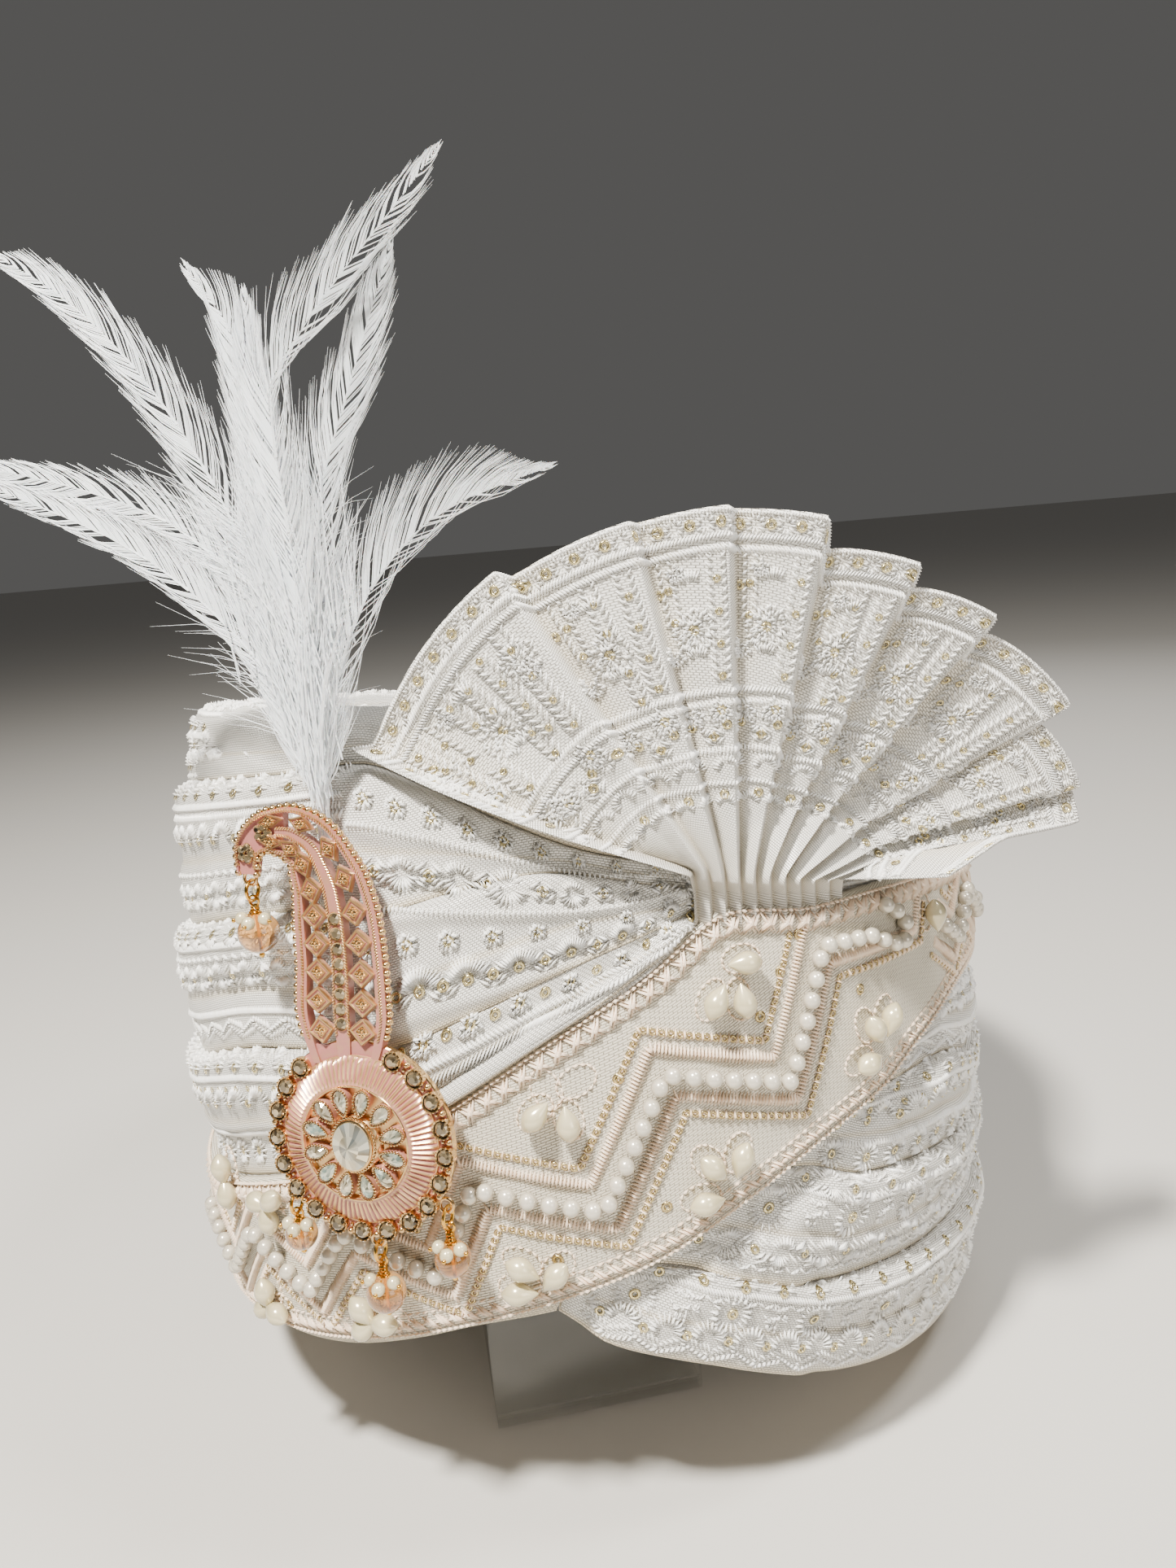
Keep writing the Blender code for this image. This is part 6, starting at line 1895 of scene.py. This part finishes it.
def make_plume():
    place = brooch_place()
    foot = np.array(place @ Vector((-0.085 * NECK_SIZE, 0.98 * NECK_SIZE, -GAP - 1.3 * MM)))
    turn = math.radians(PLUME_TURN)
    across = np.array((math.cos(turn), math.sin(turn), 0))
    out = np.array((math.sin(turn), -math.cos(turn), 0))
    rise = np.array((0.0, 0.0, 1.0))
    chance = np.random.default_rng(21)
    heap = Heap()
    for number, (route, barb, sides) in enumerate(QUILLS):
        route = np.array(route, float) * MM
        rows = np.column_stack([run_along(route), route])
        length = rows[-1, 0]
        depth = (number % 5 - 2) * 0.9 * MM

        def quill(place_on):
            x, z = (smooth(rows, place_on, c) for c in (1, 2))
            share = (place_on / length)[:, None]
            return foot + np.outer(x, across) + np.outer(z, rise) + out * depth * np.minimum(1, share * 3)

        stem = quill(np.linspace(0, length, 40))
        for k in range(0, 36, 4):
            piece = stem[k : k + 5]
            wide = np.full(1, 0.9 * MM * (1 - k / 44) / 0.6)
            heap.add(hairs(piece[:1], (piece[2:3] - piece[:1]) * 0.9, piece[4:5], wide, 2))
        for side in (-1, 1):
            share = sides[(side + 1) // 2]
            count = int(300 * share)
            t = np.sort(chance.uniform(0.03, 1.0, count))
            starts = quill(t * length)
            ahead = quill(np.minimum(t + 0.02, 1.0) * length) - quill(np.maximum(t - 0.02, 0) * length)
            ahead /= np.linalg.norm(ahead, axis=1, keepdims=True)
            beside = np.cross(out, ahead) * -side
            taper = np.interp(t, (0, 0.3, 0.7, 1.0), (1.0, 1.2, 0.95, 0.5))
            full = barb * MM * taper * chance.uniform(0.90, 1.06, count)
            full = np.minimum(full, (1.0 - t) * length * 0.32 + 0.7 * MM)
            lean = 10 + 10 * share + 2.0 * np.sin(t * 90 + number) + chance.normal(0, 1.8, count)
            lean *= np.interp(t, (0, 0.5, 1.0), (1.0, 1.0, 0.5))
            lean = np.radians(lean)[:, None]
            loose = np.outer(chance.normal(0, 0.06, count) * full, out)
            ways = (ahead * 0.80 + beside * 0.50) * full[:, None]
            ends = starts + (ahead * np.cos(lean) + beside * np.sin(lean)) * full[:, None] * 2.0 + loose
            heap.add(hairs(starts, ways, ends, chance.uniform(0.20, 0.34, count) * MM))
    count = 700
    start_x, start_z = chance.normal(0, 1.0, count), chance.uniform(0, 46, count)
    fan_out = chance.normal(-0.06, 0.26, count)
    reach = chance.uniform(16, 44, count)
    starts = foot + MM * (np.outer(start_x * (1 + start_z / 9), across) + np.outer(start_z, rise))
    starts = starts + np.outer(chance.normal(0, 1.3, count) * MM, out)
    ways = MM * (np.outer(reach * 0.5, rise) + np.outer(fan_out * reach * 0.18, across))
    ends = starts + MM * (np.outer(reach * np.cos(fan_out), rise) + np.outer(reach * np.sin(fan_out), across))
    heap.add(hairs(starts, ways, ends, chance.uniform(0.25, 0.5, count) * MM))
    count = 110
    start_z, side = chance.uniform(14, 66, count), chance.choice((-1.0, -1.0, -1.0, 1.0), count)
    reach = chance.uniform(14, 34, count) * np.where(side > 0, 0.5, 1.0)
    starts = foot + MM * (np.outer(side * start_z * 0.12, across) + np.outer(start_z, rise))
    drift = chance.uniform(0.15, 0.85, count)
    ways = MM * (np.outer(side * reach * 0.42, across) + np.outer(reach * (0.5 * drift + 0.16), rise))
    ends = starts + MM * (np.outer(side * reach, across) + np.outer(reach * drift, rise))
    heap.add(hairs(starts, ways, ends, np.full(count, 0.16 * MM)))
    up = np.array(place.to_3x3() @ Vector((0, 1, 0)))
    bundle = chance.uniform(0, 2 * math.pi, 26)
    ring = (np.outer(np.cos(bundle), across) + np.outer(np.sin(bundle), out)) * 0.75 * MM
    below, above = foot - up * PLUME_STEM_LENGTH + ring * 0.6, foot + up * 9 * MM + ring * 2.4
    heap.add(hairs(below, up * PLUME_STEM_LENGTH * 0.6 + ring, above, np.full(26, 0.7 * MM)))
    finish_piece(heap.make("feather_plume", [feather], sharp=60), "feather", "plume")


# Front panel: rows of embroidery that run to the knot

# Share of the panel's height, kind of row, pitch in millimetres
PANEL_ROWS = (
    (0.108, "ridge", 1.25), (0.160, "counter ridge", 1.25), (0.235, "flowers", 13.0),
    (0.40, "shells", 12.5), (0.545, "small flowers", 10.5), (0.645, "fine ridge", 1.2),
    (0.745, "eyes", 14.0), (0.865, "fine ridge", 1.2), (0.93, "small flowers", 9.0),
)
# How the stitches of a ridge are turned, and their length in millimetres
PANEL_RIDGES = {"ridge": (52, 5.2), "counter ridge": (128, 5.2), "fine ridge": (90, 2.6)}


def panel_face():
    """The outer side of the wraps in front, from the band's top edge to under the fan."""
    angle = np.linspace(PANEL_LEFT, PANEL_RIGHT, 150)[:, None]
    share = np.linspace(0, 1, 110)[None]
    low, high = band_edges(angle)[1], crease_height("1_2", angle)
    z = lerp(low, high, share)
    net = np.zeros((*z.shape, 3))
    for number, (under, over) in WRAP_EDGES.items():
        foot, head = crease_height(under, angle), crease_height(over, angle)
        v = np.clip((z - foot) / (head - foot), 0, 1)
        here = (z >= foot) & (z <= head)
        net = np.where(here[..., None], roll_surface(angle + 0 * z, z, v, head - foot, number), net)
    return Face(net)


def sew_panel():
    face = panel_face()
    rows, discs = [], []
    for share, kind, pitch in PANEL_ROWS:
        u, v = spread(face, share, pitch, 0.02, 0.985)
        room = face.stretch(u, v)[1] / MM
        size = np.clip((room / 62) ** 0.65, 0.42, 1.15)
        zero = u * 0
        if kind in PANEL_RIDGES:
            turn, length = PANEL_RIDGES[kind]
            rows.append(stitches(u, v, turn, length * size, 0.62, 1.7))
            continue
        places = np.stack([u, v, zero, size], 1)
        beside = np.stack([np.clip(u + pitch / 2 * MM / face.stretch(u, v)[0], 0, 1), v, zero, size], 1)
        motif, other = {
            "flowers": (blossom(26, 3.0, 4) + SMALL_BURST, []),
            "shells": (spokes(15, 1.0, 6.4, 20, 160, 0.5), DIAMOND),
            "small flowers": (blossom(16, 2.2, 6) + SMALL_BURST, []),
            "eyes": (DIAMOND + lozenge(5.2, 3.8, 0.5), SIDE_FANS + spokes(10, 0.6, 5.0, 195, 345, 0.5)),
        }[kind]
        rows.append(stamp(face, motif, places, 2.0))
        if other:
            rows.append(stamp(face, other, beside, 1.8))
        for spots in (beside, places) if kind in ("flowers", "shells") else (places,):
            wide = 3.0 * np.sqrt(size)
            discs.append(stitches(spots[:, 0], spots[:, 1], 0, wide, wide, 1.7))
    lay("panel_stitching", face, STITCH, rows, white_floss, "white_cloth")
    lay("panel_sequins", face, SEQUIN, discs, sequin_gold, "gold_wire", PANEL_SEQUIN_SINK)


# Camera, light and floor


def make_stage():
    deselect()
    bpy.ops.mesh.primitive_plane_add(size=60.0, location=(0, 0, -0.0002))
    floor = bpy.context.object
    floor.name = "floor"
    made = new_material("pale matt floor")
    floor.data.materials.append(set_shader(made, Base_Color="#C4C1BC", Roughness=0.8))
    world = bpy.data.worlds.new("studio")
    bpy.context.scene.world = world
    world.use_nodes = True
    sky = world.node_tree.nodes["Background"]
    sky.inputs["Color"].default_value = linear("#F1EFEC")
    sky.inputs["Strength"].default_value = 0.11
    for name, place, size, power, colour in (
        ("key", (-0.22, -0.66, 1.25), 0.13, 62.0, "#FFFAF0"),
        ("fill", (1.2, -1.0, 0.6), 0.7, 5.0, "#FFFAF4"),
        ("back", (0.3, 1.2, 1.0), 0.8, 6.0, "#FFFFFF"),
        ("top", (0.55, -0.15, 1.1), 0.22, 9.0, "#FFFCF6"),
    ):
        lamp = bpy.data.lights.new(name, "AREA")
        lamp.size = size
        lamp.energy = power
        lamp.color = linear(colour)[:3]
        thing = bpy.data.objects.new(name, lamp)
        bpy.context.scene.collection.objects.link(thing)
        thing.location = place
        thing.rotation_euler = (Vector((0, 0, 0.14)) - Vector(place)).to_track_quat("-Z", "Y").to_euler()


# The camera that the photograph was matched with
CAMERA_SPOT = (0.0748, -0.3869, 0.258)
CAMERA_RIGHT = (0.98421, 0.15514, -0.08525)
CAMERA_AHEAD = (-0.16985, 0.96329, -0.20791)
CAMERA_LENS = 27.03
SENSOR_HEIGHT = 36.0


def make_camera():
    camera = bpy.data.cameras.new("camera")
    camera.sensor_fit = "VERTICAL"
    camera.sensor_height = SENSOR_HEIGHT
    camera.lens = CAMERA_LENS
    camera.clip_start = 0.01
    thing = bpy.data.objects.new("camera", camera)
    bpy.context.scene.collection.objects.link(thing)
    right, ahead = Vector(CAMERA_RIGHT).normalized(), Vector(CAMERA_AHEAD).normalized()
    right = (right - ahead * right.dot(ahead)).normalized()
    axes = Matrix((right, right.cross(ahead), -ahead)).transposed()
    thing.matrix_world = Matrix.Translation(CAMERA_SPOT) @ axes.to_4x4()
    bpy.context.scene.camera = thing


make_camera()
make_stage()
make_wraps()
sew_panel()
make_cap()
make_band()
make_band_pearls()
make_drop_pearls()
make_fan()
make_brooch()
make_drops()
make_plume()

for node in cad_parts.values():
    if node.name == "stand":
        node.data.materials.clear()
        node.data.materials.append(acrylic)

deselect()
